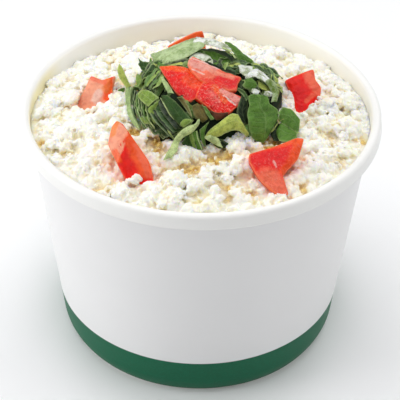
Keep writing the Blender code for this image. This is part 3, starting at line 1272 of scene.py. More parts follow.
        # A ring along the edge, which the finish paints as a highlight.
        rim = smoothstep(0.93, 0.975, rows[:, 0]) * smoothstep(-0.9, -0.4, rows[:, 1])
        marks = {"tone": np.concatenate([tone, np.ones((*height.shape, 1))], axis=-1), "cut": cut,
                 "glints_and_flecks": self.glints_and_flecks * cut,
                 "rim": np.broadcast_to(rim[:, None], height.shape)}
        return Skin.of_rings(self.to_world(local.reshape(-1, 3)).reshape(local.shape), Ends.POLE, marks)

    def build(self, sight: Sight, noise: Grain, finish: bpy.types.Material) -> None:
        """Make the piece and put it in place of its CAD node."""
        mesh = self.skin(sight, noise).to_mesh(self.name + "_piece")
        place(self.name + "_piece", mesh, finish, "red_tomato", self.name)


TOMATOES = (
    TomatoPiece(
        "tomato_top_left", (-5.9, -6.3, 13.7), (17, -8, 0), 4.0, 0.80, 0.5,
        ((-7.2, 6.5), (-3.3, 6.4), (0.4, 5.4), (2.7, 4.1), (5.2, 1.6), (6.6, -1.2), (5.8, -4.5), (4, -7.8),
         (2.4, -9.2), (1, -8.2), (-2.2, -4.6), (-4.4, 0.1)),
        Flesh.RED,
        (Stain(Flesh.ORANGE, (161, 67), (192, 71), 1.3, 0.9),
         Stain(Flesh.DEEP, (184, 94), (192, 99), 2.4, 0.8),
         Stain(Flesh.ORANGE, (188, 80), (198, 84), 2.2, 0.5),
         Stain(Flesh.DEEP, (170, 76), (178, 90), 1.8, 0.55)),
        relief=0.30, glints_and_flecks=0.35, corner=0.07),
    TomatoPiece(
        "tomato_top_front", (4.9, -13.6, 12.3), (20, 8, 0), 4.4, 0.82, 0.6,
        ((-4.7, 5.2), (-2, 6.2), (0.6, 5.8), (2.6, 4), (5.3, 2.3), (7.9, 1.4), (7.9, -0.8), (5.8, -3),
         (4.5, -4.9), (2.6, -5.8), (-0.5, -5.7), (-2.9, -3.7), (-6.7, -1.1), (-6, 2)),
        Flesh.RED,
        (Stain(Flesh.ORANGE, (214, 88), (224, 101), 1.3, 0.9),
         Stain(Flesh.PINK, (224, 92.5), (238, 101), 1.6, 0.8),
         Stain(Flesh.PINK, (210, 95), (216, 103), 1.6, 0.35),
         # The thin white band is a painted glint.
         Stain(Flesh.WHITE, (223.3, 96.8), (235.3, 105.2), 0.30, 0.9),
         Stain(Flesh.DEEP, (203, 94), (216, 107), 1.8, 0.7)),
        relief=0.32, glints_and_flecks=0.6, corner=0.07),
    TomatoPiece(
        "tomato_top_back", (3.9, -4.9, 15.25), (14, 6, 0), 4.0, 0.82, 0.3,
        ((-8.3, 3), (-8.1, 4.7), (-7, 6.4), (-5.5, 5.8), (-3.3, 4.7), (-1.4, 3.5), (0.8, 2.8), (3.4, 1.1),
         (5.6, 0.6), (8.6, -0.4), (7.6, -3), (7.3, -6), (4.5, -6.4), (2.3, -5.2), (-1.1, -5.2), (-4.5, -3),
         (-7.1, 0.6)),
        Flesh.CORAL,
        (Stain(Flesh.PINK, (188, 62), (212, 70), 1.8, 0.8),
         # The thin white bands are painted glints.
         Stain(Flesh.WHITE, (189, 57), (224, 70.5), 0.30, 0.8),
         Stain(Flesh.WHITE, (192, 69), (204, 75), 0.30, 0.6),
         Stain(Flesh.DEEP, (224, 80), (236, 84), 3.0),
         Stain(Flesh.SALMON, (211, 72), (232, 78), 1.0, 0.6),
         Stain(Flesh.RED, (200, 82), (218, 84), 1.8, 0.7)),
        relief=0.20, glints_and_flecks=0.28, corner=0.05),
    TomatoPiece(
        "tomato_front_left", (-20.8, -33.4, 5.5), (36, -6, 0), 8.0, 0.50, 1.4,
        ((-3.7, 10.2), (-5.2, 8.6), (-6.7, 3), (-3.5, -4.6), (-1.7, -8.4), (2.6, -10.6), (7, -11.1),
         (5.8, -3.4), (-1.9, 9.1)),
        Flesh.RED,
        (Stain(Flesh.AMBER, (117, 123), (112, 134), 1.3, 0.8),
         Stain(Flesh.ORANGE, (132, 142), (146, 172), 2.4, 0.8),
         Stain(Flesh.CORAL, (137, 146), (150, 176), 1.2, 0.6),
         Stain(Flesh.ORANGE, (115, 153), (120, 162), 1.0, 0.8)),
        ridge=((115, 117), (122.5, 126), (127.5, 131), (129, 137), (123, 144.5), (126.5, 145.5), (124, 152),
        (117, 166)), relief=0.06),
    TomatoPiece(
        "tomato_front_right", (22.3, -34.9, 4.5), (28, 4, 0), 7.0, 0.55, 0.7,
        ((-7.9, 1.5), (-7.7, -1.2), (-4.5, -6.6), (0.7, -11.2), (4.5, -11.1), (2.2, -4.9), (7, 1.4),
         (8.6, 8), (6.4, 8.1), (-1, 4.2)),
        Flesh.RED,
        (Stain(Flesh.CORAL, (268, 180), (287, 196), 4.2, 0.9),
         Stain(Flesh.ORANGE, (248, 153), (304, 139), 1.0, 0.7),
         Stain(Flesh.ORANGE, (302, 142), (284, 172), 1.8, 0.7),
         Stain(Flesh.DEEP, (256, 158), (280, 158), 3.2, 0.7),
         # The small white band is a painted glint.
         Stain(Flesh.WHITE, (273.5, 162), (276, 168), 0.30, 0.6)),
        relief=0.18, glints_and_flecks=0.2),
    TomatoPiece(
        "tomato_right", (33.3, 8.6, 1.5), (32, 6, 0), 7.0, 0.60, 0.8,
        ((-7.1, 2), (2.5, 7.4), (3.2, 3.4), (5.2, 1), (5.2, -3.2), (0.8, -8.5), (-2.6, -9.3), (-3.7, -2.9)),
        Flesh.RED,
        (Stain(Flesh.CORAL, (309, 76), (318, 92), 2.0, 0.8),
         Stain(Flesh.DEEP, (300, 92), (300, 106), 2.0, 0.7),
         Stain(Flesh.CORAL, (306, 102), (312, 96), 0.8, 0.6)),
        relief=0.14),
    TomatoPiece(
        "tomato_left", (-33.2, 5.9, 0.6), (34, -8, 0), 6.5, 0.60, 0.8,
        ((-6.9, -5), (-6.1, -2.3), (-3.7, 1.9), (-1.8, 6), (1.8, 3.9), (6.2, 5), (5.8, 3.5), (4.4, -1.6),
         (4.5, -3.8), (2.1, -4.5), (-0.9, -5.7), (-4.5, -6.7)),
        Flesh.SALMON,
        (Stain(Flesh.ORANGE, (110, 78), (108, 98), 1.5, 1.0),
         Stain(Flesh.AMBER, (108, 80), (106, 90), 1.2, 0.6),
         Stain(Flesh.CORAL, (92, 78), (104, 83), 1.0, 0.8),
         Stain(Flesh.WHITE, (99, 94), (96, 101), 1.4, 0.55)),
        relief=0.12),
    TomatoPiece(
        "tomato_back", (-4.9, 33.7, 2.5), (72, 0, 12), 4.0, 0.70, 0.6,
        ((-6.6, -0.9), (-6.4, -3.7), (-2.6, -6.6), (2.8, -7.8), (6.5, -6.6), (6.1, 0.3), (5.5, 3.2),
         (3.2, 3), (1.1, 2.3), (-1.3, 1.4), (-3.7, 0.4)),
        Flesh.ORANGE, relief=0.06),
)


# ---------------------------------------------------------------- the curd

@dataclass(frozen=True)
class Patch:
    """A round place on the curd, read at a pixel, with a reach in millimetres and a strength."""

    px: float
    py: float
    reach: float
    strength: float


GOLD_PATCHES = tuple(Patch(*numbers) for numbers in (
    (270, 142, 3.8, 1.2), (132, 131, 2.4, 1.1), (158, 140, 2.6, 0.9), (155, 150, 2, 1.1),
    (214, 156, 3.2, 1.1), (229, 153, 2, 0.7), (183, 169.5, 2.6, 0.9), (196, 166.5, 2.2, 0.9),
    (40, 141, 2.4, 1), (35, 126, 1.6, 0.8), (332, 133, 1.4, 0.8), (333, 146, 2.6, 0.5), (363, 141, 2, 1.1),
    (352, 130, 2, 0.5), (99, 187, 2.4, 0.9), (165.5, 205.5, 1.8, 0.7), (251.5, 192, 2, 1.1),
    (230, 187, 1.4, 0.8), (228, 195, 1.4, 0.8), (221, 181, 2.6, 0.5), (302.5, 184.5, 2, 0.9),
    (195, 203, 2.4, 0.4), (343, 165, 3, 0.5), (64, 151, 2.4, 0.4), (68, 174, 2.2, 0.4), (117, 60, 4, 0.6),
    (67, 78, 2.4, 0.4), (325, 105, 4, 0.4), (134, 135, 2.6, 0.8), (269, 138, 2.4, 0.8),
))

PINK_PATCHES = tuple(Patch(*numbers) for numbers in (
    (81, 107, 3.4, 0.9), (90, 108, 3, 0.7), (298, 172, 3.4, 0.7),
))


class Ground:
    """A square grid over the tub that holds one value for each cell."""

    REACH = 58.0
    CELL = 0.5

    def __init__(self) -> None:
        """Lay out the cells' middles."""
        line = np.arange(-self.REACH, self.REACH, self.CELL) + self.CELL / 2
        self.x, self.y = np.meshgrid(line, line, indexing="ij")
        self.value = np.zeros_like(self.x)

    def cells(self, x: Array, y: Array) -> tuple[Array, Array]:
        """Return the cell of each place.

        Args:
            x: Places' X.
            y: Places' Y.

        Returns:
            The first and the second index of each place's cell.
        """
        last = len(self.value) - 1
        column = np.clip(((x + self.REACH) / self.CELL).astype(int), 0, last)
        return column, np.clip(((y + self.REACH) / self.CELL).astype(int), 0, last)

    def away(self, x: float, y: float) -> Array:
        """Return each cell's distance to a place."""
        return np.hypot(self.x - x, self.y - y)

    def sample(self, x: Array, y: Array) -> Array:
        """Return the value under each place, blended between cells.

        Args:
            x: Places' X.
            y: Places' Y.

        Returns:
            One value for each place.
        """
        last = len(self.value) - 2
        u = np.clip((x + self.REACH) / self.CELL - 0.5, 0, last)
        v = np.clip((y + self.REACH) / self.CELL - 0.5, 0, last)
        i, j = u.astype(int), v.astype(int)
        s, t = u - i, v - j
        near = self.value[i, j] * (1 - t) + self.value[i, j + 1] * t
        far = self.value[i + 1, j] * (1 - t) + self.value[i + 1, j + 1] * t
        return near * (1 - s) + far * s

    def blur(self, cells: int, times: int = 2) -> None:
        """Replace each value by the mean of a square of cells around it, a few times over.

        Args:
            cells: How many cells the square reaches from its middle.
            times: How often the means are taken.
        """
        for _ in range(times):
            for axis in (0, 1):
                margin = [(cells + 1, cells) if side == axis else (0, 0) for side in (0, 1)]
                padded = np.pad(self.value, margin, "edge")
                sums = np.cumsum(padded, axis=axis)
                ahead = np.take(sums, range(2 * cells + 1, sums.shape[axis]), axis=axis)
                behind = np.take(sums, range(0, sums.shape[axis] - 2 * cells - 1), axis=axis)
                self.value = (ahead - behind) / (2 * cells + 1)


@dataclass(frozen=True)
class Clump:
    """A clump of curd that the photograph shows beside a tomato piece, on top of the curd."""

    px: float
    py: float
    height: float
    radius: float


CLUMPS = tuple(Clump(*numbers) for numbers in (
    (131, 178.5, 0.4, 1.6), (136, 178, 0.5, 1.9), (209, 36, 0.6, 2.4), (221, 37, 0.4, 2), (293, 188, 0, 1.5),
    (258, 148, 0.4, 1.4), (249, 143, 0.6, 2.2), (155, 131, 0.6, 2.2), (185, 156, 0.5, 2.6),
    (236, 145, 0.7, 2.8), (104, 76, 0.6, 1.5), (324, 108.5, 0.2, 2), (240, 140, 1.1, 2.3),
    (230, 143.5, 0.8, 1.9), (282, 194, 0, 1.4), (147, 132, 0.4, 1.6), (175, 149, 0.6, 2.2),
    (166, 133, 0.3, 1.5), (287, 88, 0.6, 2.2),
))

# Pixels where tomato shows, whose lines of sight stay free of curd.
BARE_SPOTS = ((106, 97), (109, 91), (103, 101), (80, 103), (83, 96), (86, 90), (311, 101), (306, 105))


@dataclass
class CurdHeap:
    """The curd: a core that fills the tub, and crumbled clumps that have grown together on top."""

    tub: TubShape
    heap: HeapShape
    sight: Sight
    noise: Grain
    pitch: float = 4.1              # distance between clumps
    spread: float = 55.0            # half the side of the square on which they are laid out
    reach: float = 53.4             # distance from the middle that they keep within
    hug: float = 4.0                # depth under the rim at which the wall's radius limits them
    sectors: int = 6
    overlap: float = 0.01           # angle by which the beds of two sectors overlap, on each side
    voxel: float = 0.26
    bed: float = -1.3               # level of the bed between the clumps
    floor: float = -3.2             # the pieces are cut off at this level
    wedge_foot: float = -6.0        # level down to which the bed's slab goes before that
    bed_start: float = 16.0         # the bed begins at this radius, under the leaves
    wall_gap: float = 0.25          # from the wall to the nearest grain
    bed_gap: float = 0.15           # from the wall to the bed
    core_gap: float = 0.3           # from the wall to the core
    core_floor: float = 0.55        # from the base disc's middle up to the core
    core_drop: float = 2.2          # how far the core lies under the level
    core_top: float = 60.0          # height over which the core sinks under the tomato
    hills: Pair = (9.0, 1.2)        # size and height of the broad unevenness
    knolls: Pair = (4.0, 0.7)       # size and height of the narrow unevenness
    jitter: float = 0.30            # spread of the clumps' heights
    sunk: float = 0.75              # how far the clumps' middles lie under the level
    grain: float = 0.56             # usual radius of a grain
    grain_range: Pair = (0.30, 1.15)
    cover: float = 2.3              # grains on a clump whose radius is a grain's
    cover_range: tuple[int, int] = (6, 66)
    squash: float = 0.72            # height of a clump over its width
    relief: float = 0.26            # depth of the creases between the smallest crumbs
    deepest: float = -0.17          # the farthest that noise moves a point in
    pool_strength: float = 0.75     # a golden patch stronger than this is a pool with few grains
    loose: int = 3600
    loose_reach: float = 53.0       # distance from the middle that they keep within
    crumbs: int = 170
    crumb_reach: float = 52.0
    crumb_range: Pair = (0.35, 0.70)
    least_points: int = 400         # a bit of curd with fewer points is a speck

    def __post_init__(self) -> None:
        """Seed the random draws and prepare the grids."""
        self.rng = np.random.default_rng(20)
        self.pink = Ground()
        self.gold = Ground()
        self.pools: list[Spot] = []

    def clumps(self) -> tuple[Array, Array]:
        """Return the clumps' middles over the curd's level, and their radii.

        They stand on a triangular grid, moved at random. Their height follows two sizes of
        noise, so that they form hills and hollows, which are flatter at the back; beside the
        wall and the leaves they sink in.

        Returns:
            The middles, with three columns, and the radii.
        """
        rng = self.rng
        rows = np.arange(-self.spread, self.spread, self.pitch * 0.866)
        x, y = np.meshgrid(np.arange(-self.spread, self.spread, self.pitch), rows, indexing="ij")
        x = x + (np.arange(len(rows)) % 2)[None] * self.pitch / 2
        flat = np.stack([x.ravel(), y.ravel()], axis=1)
        flat += rng.uniform(-0.48, 0.48, flat.shape) * self.pitch
        radius = np.clip(self.pitch * rng.lognormal(-0.66, 0.33, len(flat)), 1.0, 3.3)
        (size, rise), (small, lift) = self.hills, self.knolls
        hills = self.noise(np.c_[flat, np.zeros(len(flat))], size) * rise
        hills += self.noise(np.c_[flat, np.full(len(flat), 7.0)], small) * lift
        calm = 1 - 0.4 * smoothstep(0.0, 32.0, flat[:, 1])
        height = (hills + rng.normal(0, self.jitter, len(flat))) * calm - self.sunk
        reach = np.hypot(flat[:, 0], flat[:, 1])
        share = self.heap.share(flat[:, 0], flat[:, 1])
        height -= 0.7 * smoothstep(47, 53, reach) + 0.9 * smoothstep(1.12, 0.95, share)
        kept = (reach < self.reach - radius * 0.5) & (share > 0.86)
        for x, y, hollow in self.pools:
            kept &= np.hypot(flat[:, 0] - x, flat[:, 1] - y) > 0.75 * hollow + 0.5 * radius
        centres, radii = np.c_[flat, height][kept], radius[kept]
        spots = self.sight.on_heap([(clump.px, clump.py, 0.5) for clump in CLUMPS], self.heap.curd)
        spots[:, 2] = [clump.height for clump in CLUMPS]
        return np.concatenate([centres, spots]), np.concatenate([radii, [clump.radius for clump in CLUMPS]])

    def grains(self, centres: Array, radii: Array) -> tuple[Array, Array, Array]:
        """Return places and radii of the grains that make up the clumps, and which ones stay.

        Each clump has one large ball in the middle and grains all over it, most of them on its
        upper side; more grains lie on the bed between the clumps. Those of the clumps read from
        the photograph stay where they are, also on a tomato piece.

        Args:
            centres: The clumps' middles over the curd's level.
            radii: The clumps' radii.

        Returns:
            The grains' places and radii, and True for each one that stays.
        """
        rng = self.rng
        counts = np.clip(self.cover * (radii / self.grain) ** 2, *self.cover_range).astype(int)
        owner = np.repeat(np.arange(len(radii)), counts)
        aim = unit(rng.normal(size=(len(owner), 3)))
        aim[:, 2] = np.where(rng.random(len(owner)) < 0.85, np.abs(aim[:, 2]), aim[:, 2])
        sizes = np.clip(self.grain * rng.lognormal(0, 0.34, len(owner)), *self.grain_range)
        spread = np.maximum(radii[owner] * rng.uniform(0.74, 1.10, len(owner)) - sizes * 0.25, 0.3)
        places = centres[owner] + aim * spread[:, None] * (1.0, 1.0, self.squash)
        turn = rng.uniform(0, math.tau, self.loose)
        reach = self.loose_reach * np.sqrt(rng.uniform(0.12, 1, self.loose))
        low = around(reach, turn, self.bed + rng.uniform(-0.3, 0.6, self.loose))
        read = len(radii) - len(CLUMPS)
        stays = np.concatenate([np.arange(len(radii)) >= read, owner >= read, np.zeros(self.loose, bool)])
        places = np.concatenate([centres, places, low])
        sizes = np.concatenate([radii * 0.84, sizes, rng.uniform(0.4, 0.95, self.loose)])
        bare = np.ones(len(places), bool)
        for x, y, hollow in self.pools:
            away = np.hypot(places[:, 0] - x, places[:, 1] - y)
            bare &= (away > 0.6 * hollow) | (places[:, 2] + sizes < self.bed + 1.15)
        places, sizes, stays = places[bare], sizes[bare], stays[bare]
        reach = np.hypot(places[:, 0], places[:, 1])
        limit = self.tub.wall(RIM - self.hug) - self.tub.paper - self.wall_gap - sizes * 1.15
        pull = np.minimum(1.0, limit / np.maximum(reach, 1e-6))
        places[:, :2] *= pull[:, None]
        return places, sizes, stays

    def before(self, piece: TomatoPiece, local: Array, inset: float) -> Array:
        """Return which points lie over a piece's face, or hide it from the camera.

        Args:
            piece: The tomato piece.
            local: Points in the piece's own frame.
            inset: Share of the outline that is left out at its edge.

        Returns:
            True for each such point.
        """
        eye = piece.to_local(np.array(self.sight.place)[None])
        share = local[:, 2:] / (local[:, 2:] - eye[:, 2:])
        met = local + (eye - local) * share
        border = piece.border(40)
        close = border * (1 - inset) + border.mean(axis=0) * inset
        return within(close, local[:, :2]) | within(close, met[:, :2])

    def clear_of(self, pieces: Sequence[TomatoPiece], places: Array, sizes: Array) -> Array:
        """Return which grains leave the tomato pieces' faces free, and the camera's view of them.

        Grains on the lines of sight through the bare spots go too: tomato shows there.

        Args:
            pieces: The tomato pieces.
            places: The grains' middles over the curd's level.
            sizes: The grains' radii.

        Returns:
            True for each grain that is clear of them.
        """
        lifted = places + np.c_[np.zeros((len(places), 2)), self.heap.level(places[:, 0], places[:, 1])]
        clear = np.ones(len(places), bool)
        for piece in pieces:
            local = piece.to_local(lifted)
            above = (local[:, 2] > -sizes * 0.85) & (local[:, 2] < piece.headroom)
            clear &= ~(above & self.before(piece, local, 0.06))
        eye = np.array(self.sight.place)
        for ray in unit(self.sight.rays(np.array([(*spot, 0.0) for spot in BARE_SPOTS]))):
            ahead = lifted - eye
            aside = ahead - (ahead @ ray)[:, None] * ray
            clear &= np.linalg.norm(aside, axis=1) > sizes + 0.3
        return clear

    def pressed(self, pieces: Sequence[TomatoPiece], points: Array, low: Array) -> Array:
        """Return the points, where those that barely cover a tomato piece sink under its face.

        Args:
            pieces: The tomato pieces.
            points: Points of the curd, in place.
            low: Which of them belong to the bed, and sink from higher up too.

        Returns:
            All the points, moved or not.
        """
        for piece in pieces:
            local = piece.to_local(points)
            over = (local[:, 2] > -0.5) & (local[:, 2] < np.where(low, 4.0, 1.2))
            over &= self.before(piece, local, 0.04)
            local[:, 2] = np.where(over, -0.5, local[:, 2])
            points = np.where(over[:, None], piece.to_world(local), points)
        return points

    def balls(self, places: Array, sizes: Array) -> Skin:
        """Return one uneven ball of 35 faces for each grain.

        A ball's points are those of a plain ball, stretched by a random matrix of its own, and
        moved in or out by noise.

        Args:
            places: The grains' middles.
            sizes: The grains' radii.

        Returns:
            One skin with all the balls.
        """
        rng = self.rng
        cage = bmesh.new()
        bmesh.ops.create_uvsphere(cage, u_segments=7, v_segments=5, radius=1.0)
        ball = np.array([vertex.co for vertex in cage.verts])
        sides = [[vertex.index for vertex in face.verts] for face in cage.faces]
        cage.free()
        stretch = np.eye(3) + rng.normal(0, 0.17, (len(sizes), 3, 3))
        points = np.einsum("nij,kj->nki", stretch, ball)
        seeds = rng.uniform(0, 30, (len(sizes), 1, 3))
        points *= (1 + 0.34 * self.noise(points * 1.3 + seeds, 1.0))[..., None]
        points = points * sizes[:, None, None] + places[:, None]
        start = (np.arange(len(sizes)) * len(ball))[:, None, None]
        faces = [(np.array([side for side in sides if len(side) == corners]) + start).reshape(-1, corners)
                 for corners in (3, 4)]
        return Skin(points.reshape(-1, 3), faces)

    def wedge(self, start: float, end: float) -> Skin:
        """Return the bed of one sector: a slab swept round Z between two angles.

        Args:
            start: The first angle.
            end: The last angle.

        Returns:
            The closed slab.
        """
        angles = np.linspace(start, end, 24)
        outer = self.tub.wall(RIM - self.hug) - self.tub.paper - self.bed_gap
        radii = np.linspace(self.bed_start, outer, 26)
        height = np.repeat([self.bed, self.wedge_foot], len(radii))
        points = around(np.concatenate([radii, radii[::-1]]), angles[:, None], height)
        top = points[..., 2] > self.floor
        points[..., 2] += top * 0.5 * self.noise(points, 2.0)
        return Skin.of_rings(points, Ends.STRIP)

    def united(self, body: Skin) -> bpy.types.Mesh:
        """Return overlapping bodies melted by voxels into one, cut off at the floor, without specks.

        Args:
            body: The bodies, in millimetres.

        Returns:
            The melted mesh, in millimetres too.
        """
        thing = bpy.data.objects.new("melt", body.to_mesh("melt", 1.0))
        bpy.context.scene.collection.objects.link(thing)
        melt = thing.modifiers.new("melt", "REMESH")
        melt.mode = "VOXEL"
        melt.voxel_size = self.voxel
        graph = bpy.context.evaluated_depsgraph_get()
        mesh = bpy.data.meshes.new_from_object(thing.evaluated_get(graph))
        old = thing.data
        bpy.data.objects.remove(thing)
        bpy.data.meshes.remove(old)
        cage = bmesh.new()
        cage.from_mesh(mesh)
        whole = cage.verts[:] + cage.edges[:] + cage.faces[:]
        bmesh.ops.bisect_plane(cage, geom=whole, dist=1e-4, plane_co=(0, 0, self.floor), plane_no=(0, 0, 1),
                               clear_inner=True)
        rim = [edge for edge in cage.edges if edge.is_boundary]
        bmesh.ops.holes_fill(cage, edges=rim, sides=0)
        cage.to_mesh(mesh)
        cage.verts.ensure_lookup_table()
        specks = [cage.verts[number] for number in np.flatnonzero(self.in_specks(mesh))]
        bmesh.ops.delete(cage, geom=specks, context="VERTS")
        cage.to_mesh(mesh)
        cage.free()
        return mesh

    def in_specks(self, mesh: bpy.types.Mesh) -> Array:
        """Return which points belong to a speck: a bit that hangs on nothing, with few points.

        Each point takes the lowest number of the two ends of its edges, and then the number that
        the point of that number has, until no number changes: each bit then has one number.

        Args:
            mesh: The mesh.

        Returns:
            True for each point of a speck.
        """
        ends = np.empty(len(mesh.edges) * 2, np.int32)
        mesh.edges.foreach_get("vertices", ends)
        ends = ends.reshape(-1, 2)
        number = np.arange(len(mesh.vertices))
        before = number + 1
        while np.any(number != before):
            before = number.copy()
            np.minimum.at(number, ends, before[ends].min(axis=1, keepdims=True))
            number = number[number]
        return np.bincount(number)[number] < self.least_points

    def roughened(self, mesh: bpy.types.Mesh) -> Array:
        """Mark a mesh's creases, and return its points after fine noise has moved them.

        Each goes along its normal, out in the middle of a small crumb and in at its creases, and
        less so at the back; at the cut below it stays.

        Args:
            mesh: The mesh, in millimetres over the curd's level.

        Returns:
            The moved points.
        """
        points = np.empty(len(mesh.vertices) * 3, np.float32)
        normals = np.empty_like(points)
        mesh.vertices.foreach_get("co", points)
        mesh.vertices.foreach_get("normal", normals)
        points, normals = points.reshape(-1, 3).astype(float), normals.reshape(-1, 3)
        crease = self.noise.crumbs(points, 1.0)
        # The crease mark lets the finish paint warm shade into the creases.
        add_mark(mesh, "crease", smoothstep(0.15, 0.75, crease))
        wave = self.relief * (0.22 - crease) + 0.03 * self.noise(points + 9, 0.55)
        wave = np.maximum(wave, self.deepest)
        wave = wave * (1 - 0.5 * smoothstep(-10.0, 30.0, points[:, 1]))
        free = smoothstep(self.floor + 0.05, self.floor + 0.6, points[:, 2])
        return points + normals * (wave * free)[:, None]

    def dress(self, mesh: bpy.types.Mesh, points: Array, mean: Ground,
              pieces: Sequence[TomatoPiece]) -> None:
        """Lift flat points to the curd's level, write them in metres, and mark them.

        Those that would touch the paper are drawn in. The marks say how deep in a gap a point
        lies, and how golden and how pink the curd is there.

        Args:
            mesh: The mesh that the points belong to.
            points: Its points, over the curd's level.
            mean: Mean height of the curd over its level.
            pieces: The tomato pieces, under which the bed sinks.
        """
        x, y = points[:, 0], points[:, 1]
        # The gap mark lets the finish paint warm shade deep in the gaps.
        gap = smoothstep(-0.2, 1.3, mean.sample(x, y) - points[:, 2])
        add_mark(mesh, "gap", gap)
        add_mark(mesh, "gold", np.clip(self.gold.sample(x, y), 0, 1))
        add_mark(mesh, "pink", np.clip(self.pink.sample(x, y), 0, 1))
        lifted = points + np.c_[np.zeros((len(points), 2)), self.heap.level(x, y)]
        limit = self.tub.wall(np.clip(lifted[:, 2], 0, RIM - 3.0)) - self.tub.paper - 0.05
        reach = np.maximum(np.hypot(x, y), 1e-6)
        lifted[:, :2] *= np.where(reach > limit - 0.4, limit / reach, 1.0)[:, None]
        lifted = self.pressed(pieces, lifted, points[:, 2] < self.bed + 1.0)
        mesh.vertices.foreach_set("co", (lifted * MM).astype(np.float32).ravel())
        mesh.update()
        mesh.shade_smooth()

    def stain(self, pieces: Sequence[TomatoPiece]) -> None:
        """Fill the grids that say where the curd is pink beside tomato, and where it is golden.

        Args:
            pieces: The tomato pieces.
        """
        flat = np.stack([self.pink.x, self.pink.y], axis=-1)
        for piece in pieces:
            border = piece.border(36)
            ring = piece.to_world(np.c_[border, np.full(len(border), -0.3 * piece.keel)])[:, :2]
            near = distance_to(np.concatenate([ring, ring[:1]]), flat)
            self.pink.value = np.maximum(self.pink.value, 0.9 * bell(near, 2.8))
        for patch in PINK_PATCHES:
            near = bell(self.pink.away(*self.landing(patch)), patch.reach)
            self.pink.value = np.maximum(self.pink.value, patch.strength * near)
        for patch in GOLD_PATCHES:
            x, y = self.landing(patch)
            self.gold.value += patch.strength * bell(self.gold.away(x, y), patch.reach)
            if patch.strength > self.pool_strength:
                self.pools.append((x, y, patch.reach))
        beside = smoothstep(1.35, 0.95, self.heap.share(self.gold.x, self.gold.y))
        self.gold.value += 0.25 * beside * (self.gold.y < 4)

    def landing(self, patch: Patch) -> Pair:
        """Return where on the curd a patch has its middle."""
        x, y, _ = self.sight.on_heap([(patch.px, patch.py, 0.0)], self.heap.curd)[0]
        return x, y

    def core(self) -> Skin:
        """Return the body of curd that fills the tub under the clumps.

        Returns:
            The closed body, without marks.
        """
        floor = self.tub.base_z + self.core_floor
        angles = np.linspace(0, math.tau, 180, endpoint=False)
        shares = np.sqrt(np.linspace(1, 0.0004, 60))
        inset = self.tub.paper + self.core_gap
        edge = self.tub.wall(RIM - self.hug) - inset
        top = around(edge * shares[:, None], angles, 0.0)
        level = self.heap.level(top[..., 0], top[..., 1]) - self.core_drop
        top[..., 2] = level + 0.5 * self.noise(top, 2.5)
        heights = np.linspace(0, 1, 30)[1:-1, None]
        side = top[0, :, 2] * heights + floor * (1 - heights)
        radius = self.tub.wall(side) - inset
        low = self.tub.wall(floor) - inset
        bottom = around(low * np.array([[0.02], [0.5], [1.0]]), angles, floor)
        return Skin.of_rings(np.concatenate([bottom, around(radius, angles, side), top]), Ends.POLE)

    def build(self, pieces: Sequence[TomatoPiece]) -> None:
        """Make the core, the clumps of each sector and the loose crumbs.

        Args:
            pieces: The tomato pieces that lie in and on the curd.
        """
        finish = MoistCurd().material("moist_curd", 0.9)
        self.stain(pieces)
        core = self.core()
        core.points = self.pressed(pieces, core.points, core.points[:, 2] > self.core_top)
        even = np.ones((len(core.points), 1))
        # The core counts as deep in a gap all over, so the finish paints it in warm shade.
        core.marks = {"gap": even, "gold": 0.5 * even}
        place("curd_core", core.to_mesh("curd_core"), finish, "white_curd", "cheese_heap")
        centres, radii = self.clumps()
        places, sizes, stays = self.grains(centres, radii)
        clear = self.clear_of(pieces, places, sizes) | stays
        places, sizes = places[clear], sizes[clear]
        turn = np.arctan2(places[:, 1], places[:, 0]) % math.tau
        made = []
        for sector in range(self.sectors):
            start = math.tau * sector / self.sectors
            end = start + math.tau / self.sectors
            mine = (turn >= start) & (turn < end)
            bed = self.wedge(start - self.overlap, end + self.overlap)
            mesh = self.united(Skin.joined([self.balls(places[mine], sizes[mine]), bed]))
            made.append((mesh, self.roughened(mesh)))
            log.info("curd sector %d: %d grains", sector, mine.sum())
        top = Ground()
        top.value[:] = self.bed
        for _, points in made:
            np.maximum.at(top.value, top.cells(points[:, 0], points[:, 1]), points[:, 2])
        mean = Ground()
        mean.value = top.value.copy()
        mean.blur(5)
        for sector, (mesh, points) in enumerate(made):
            self.dress(mesh, points, mean, pieces)
            mesh.name = f"curd_clumps_{sector}"
            place(f"curd_clumps_{sector}", mesh, finish, "white_curd")
        self.scatter(top, mean, pieces, MoistCurd().material("curd_crumb", 0.0))

    def scatter(self, top: Ground, mean: Ground, pieces: Sequence[TomatoPiece],
                finish: bpy.types.Material) -> None:
        """Scatter loose crumbs over the curd, each an uneven ball, half sunk in.

        Args:
            top: The curd's upper surface over its level.
            mean: Its mean height.
            pieces: The tomato pieces, which stay bare.
            finish: The curd's finish.
        """
        rng = self.rng
        turn = rng.uniform(0, math.tau, self.crumbs)
        reach = self.crumb_reach * np.sqrt(rng.uniform(0.12, 1, self.crumbs))
        x, y = reach * np.cos(turn), reach * np.sin(turn)
        sizes = rng.uniform(*self.crumb_range, self.crumbs)
        places = np.stack([x, y, top.sample(x, y) - sizes * 0.1], axis=1)
        kept = (self.heap.share(x, y) > 0.98) & (places[:, 2] > self.bed + 0.8)
        kept &= self.clear_of(pieces, places, sizes)
        body = self.balls(places[kept], sizes[kept])
        mesh = body.to_mesh("curd_crumbs", 1.0)
        self.dress(mesh, body.points, mean, ())
        place("curd_crumbs", mesh, finish, "white_curd")


# ---------------------------------------------------------------- the leaves

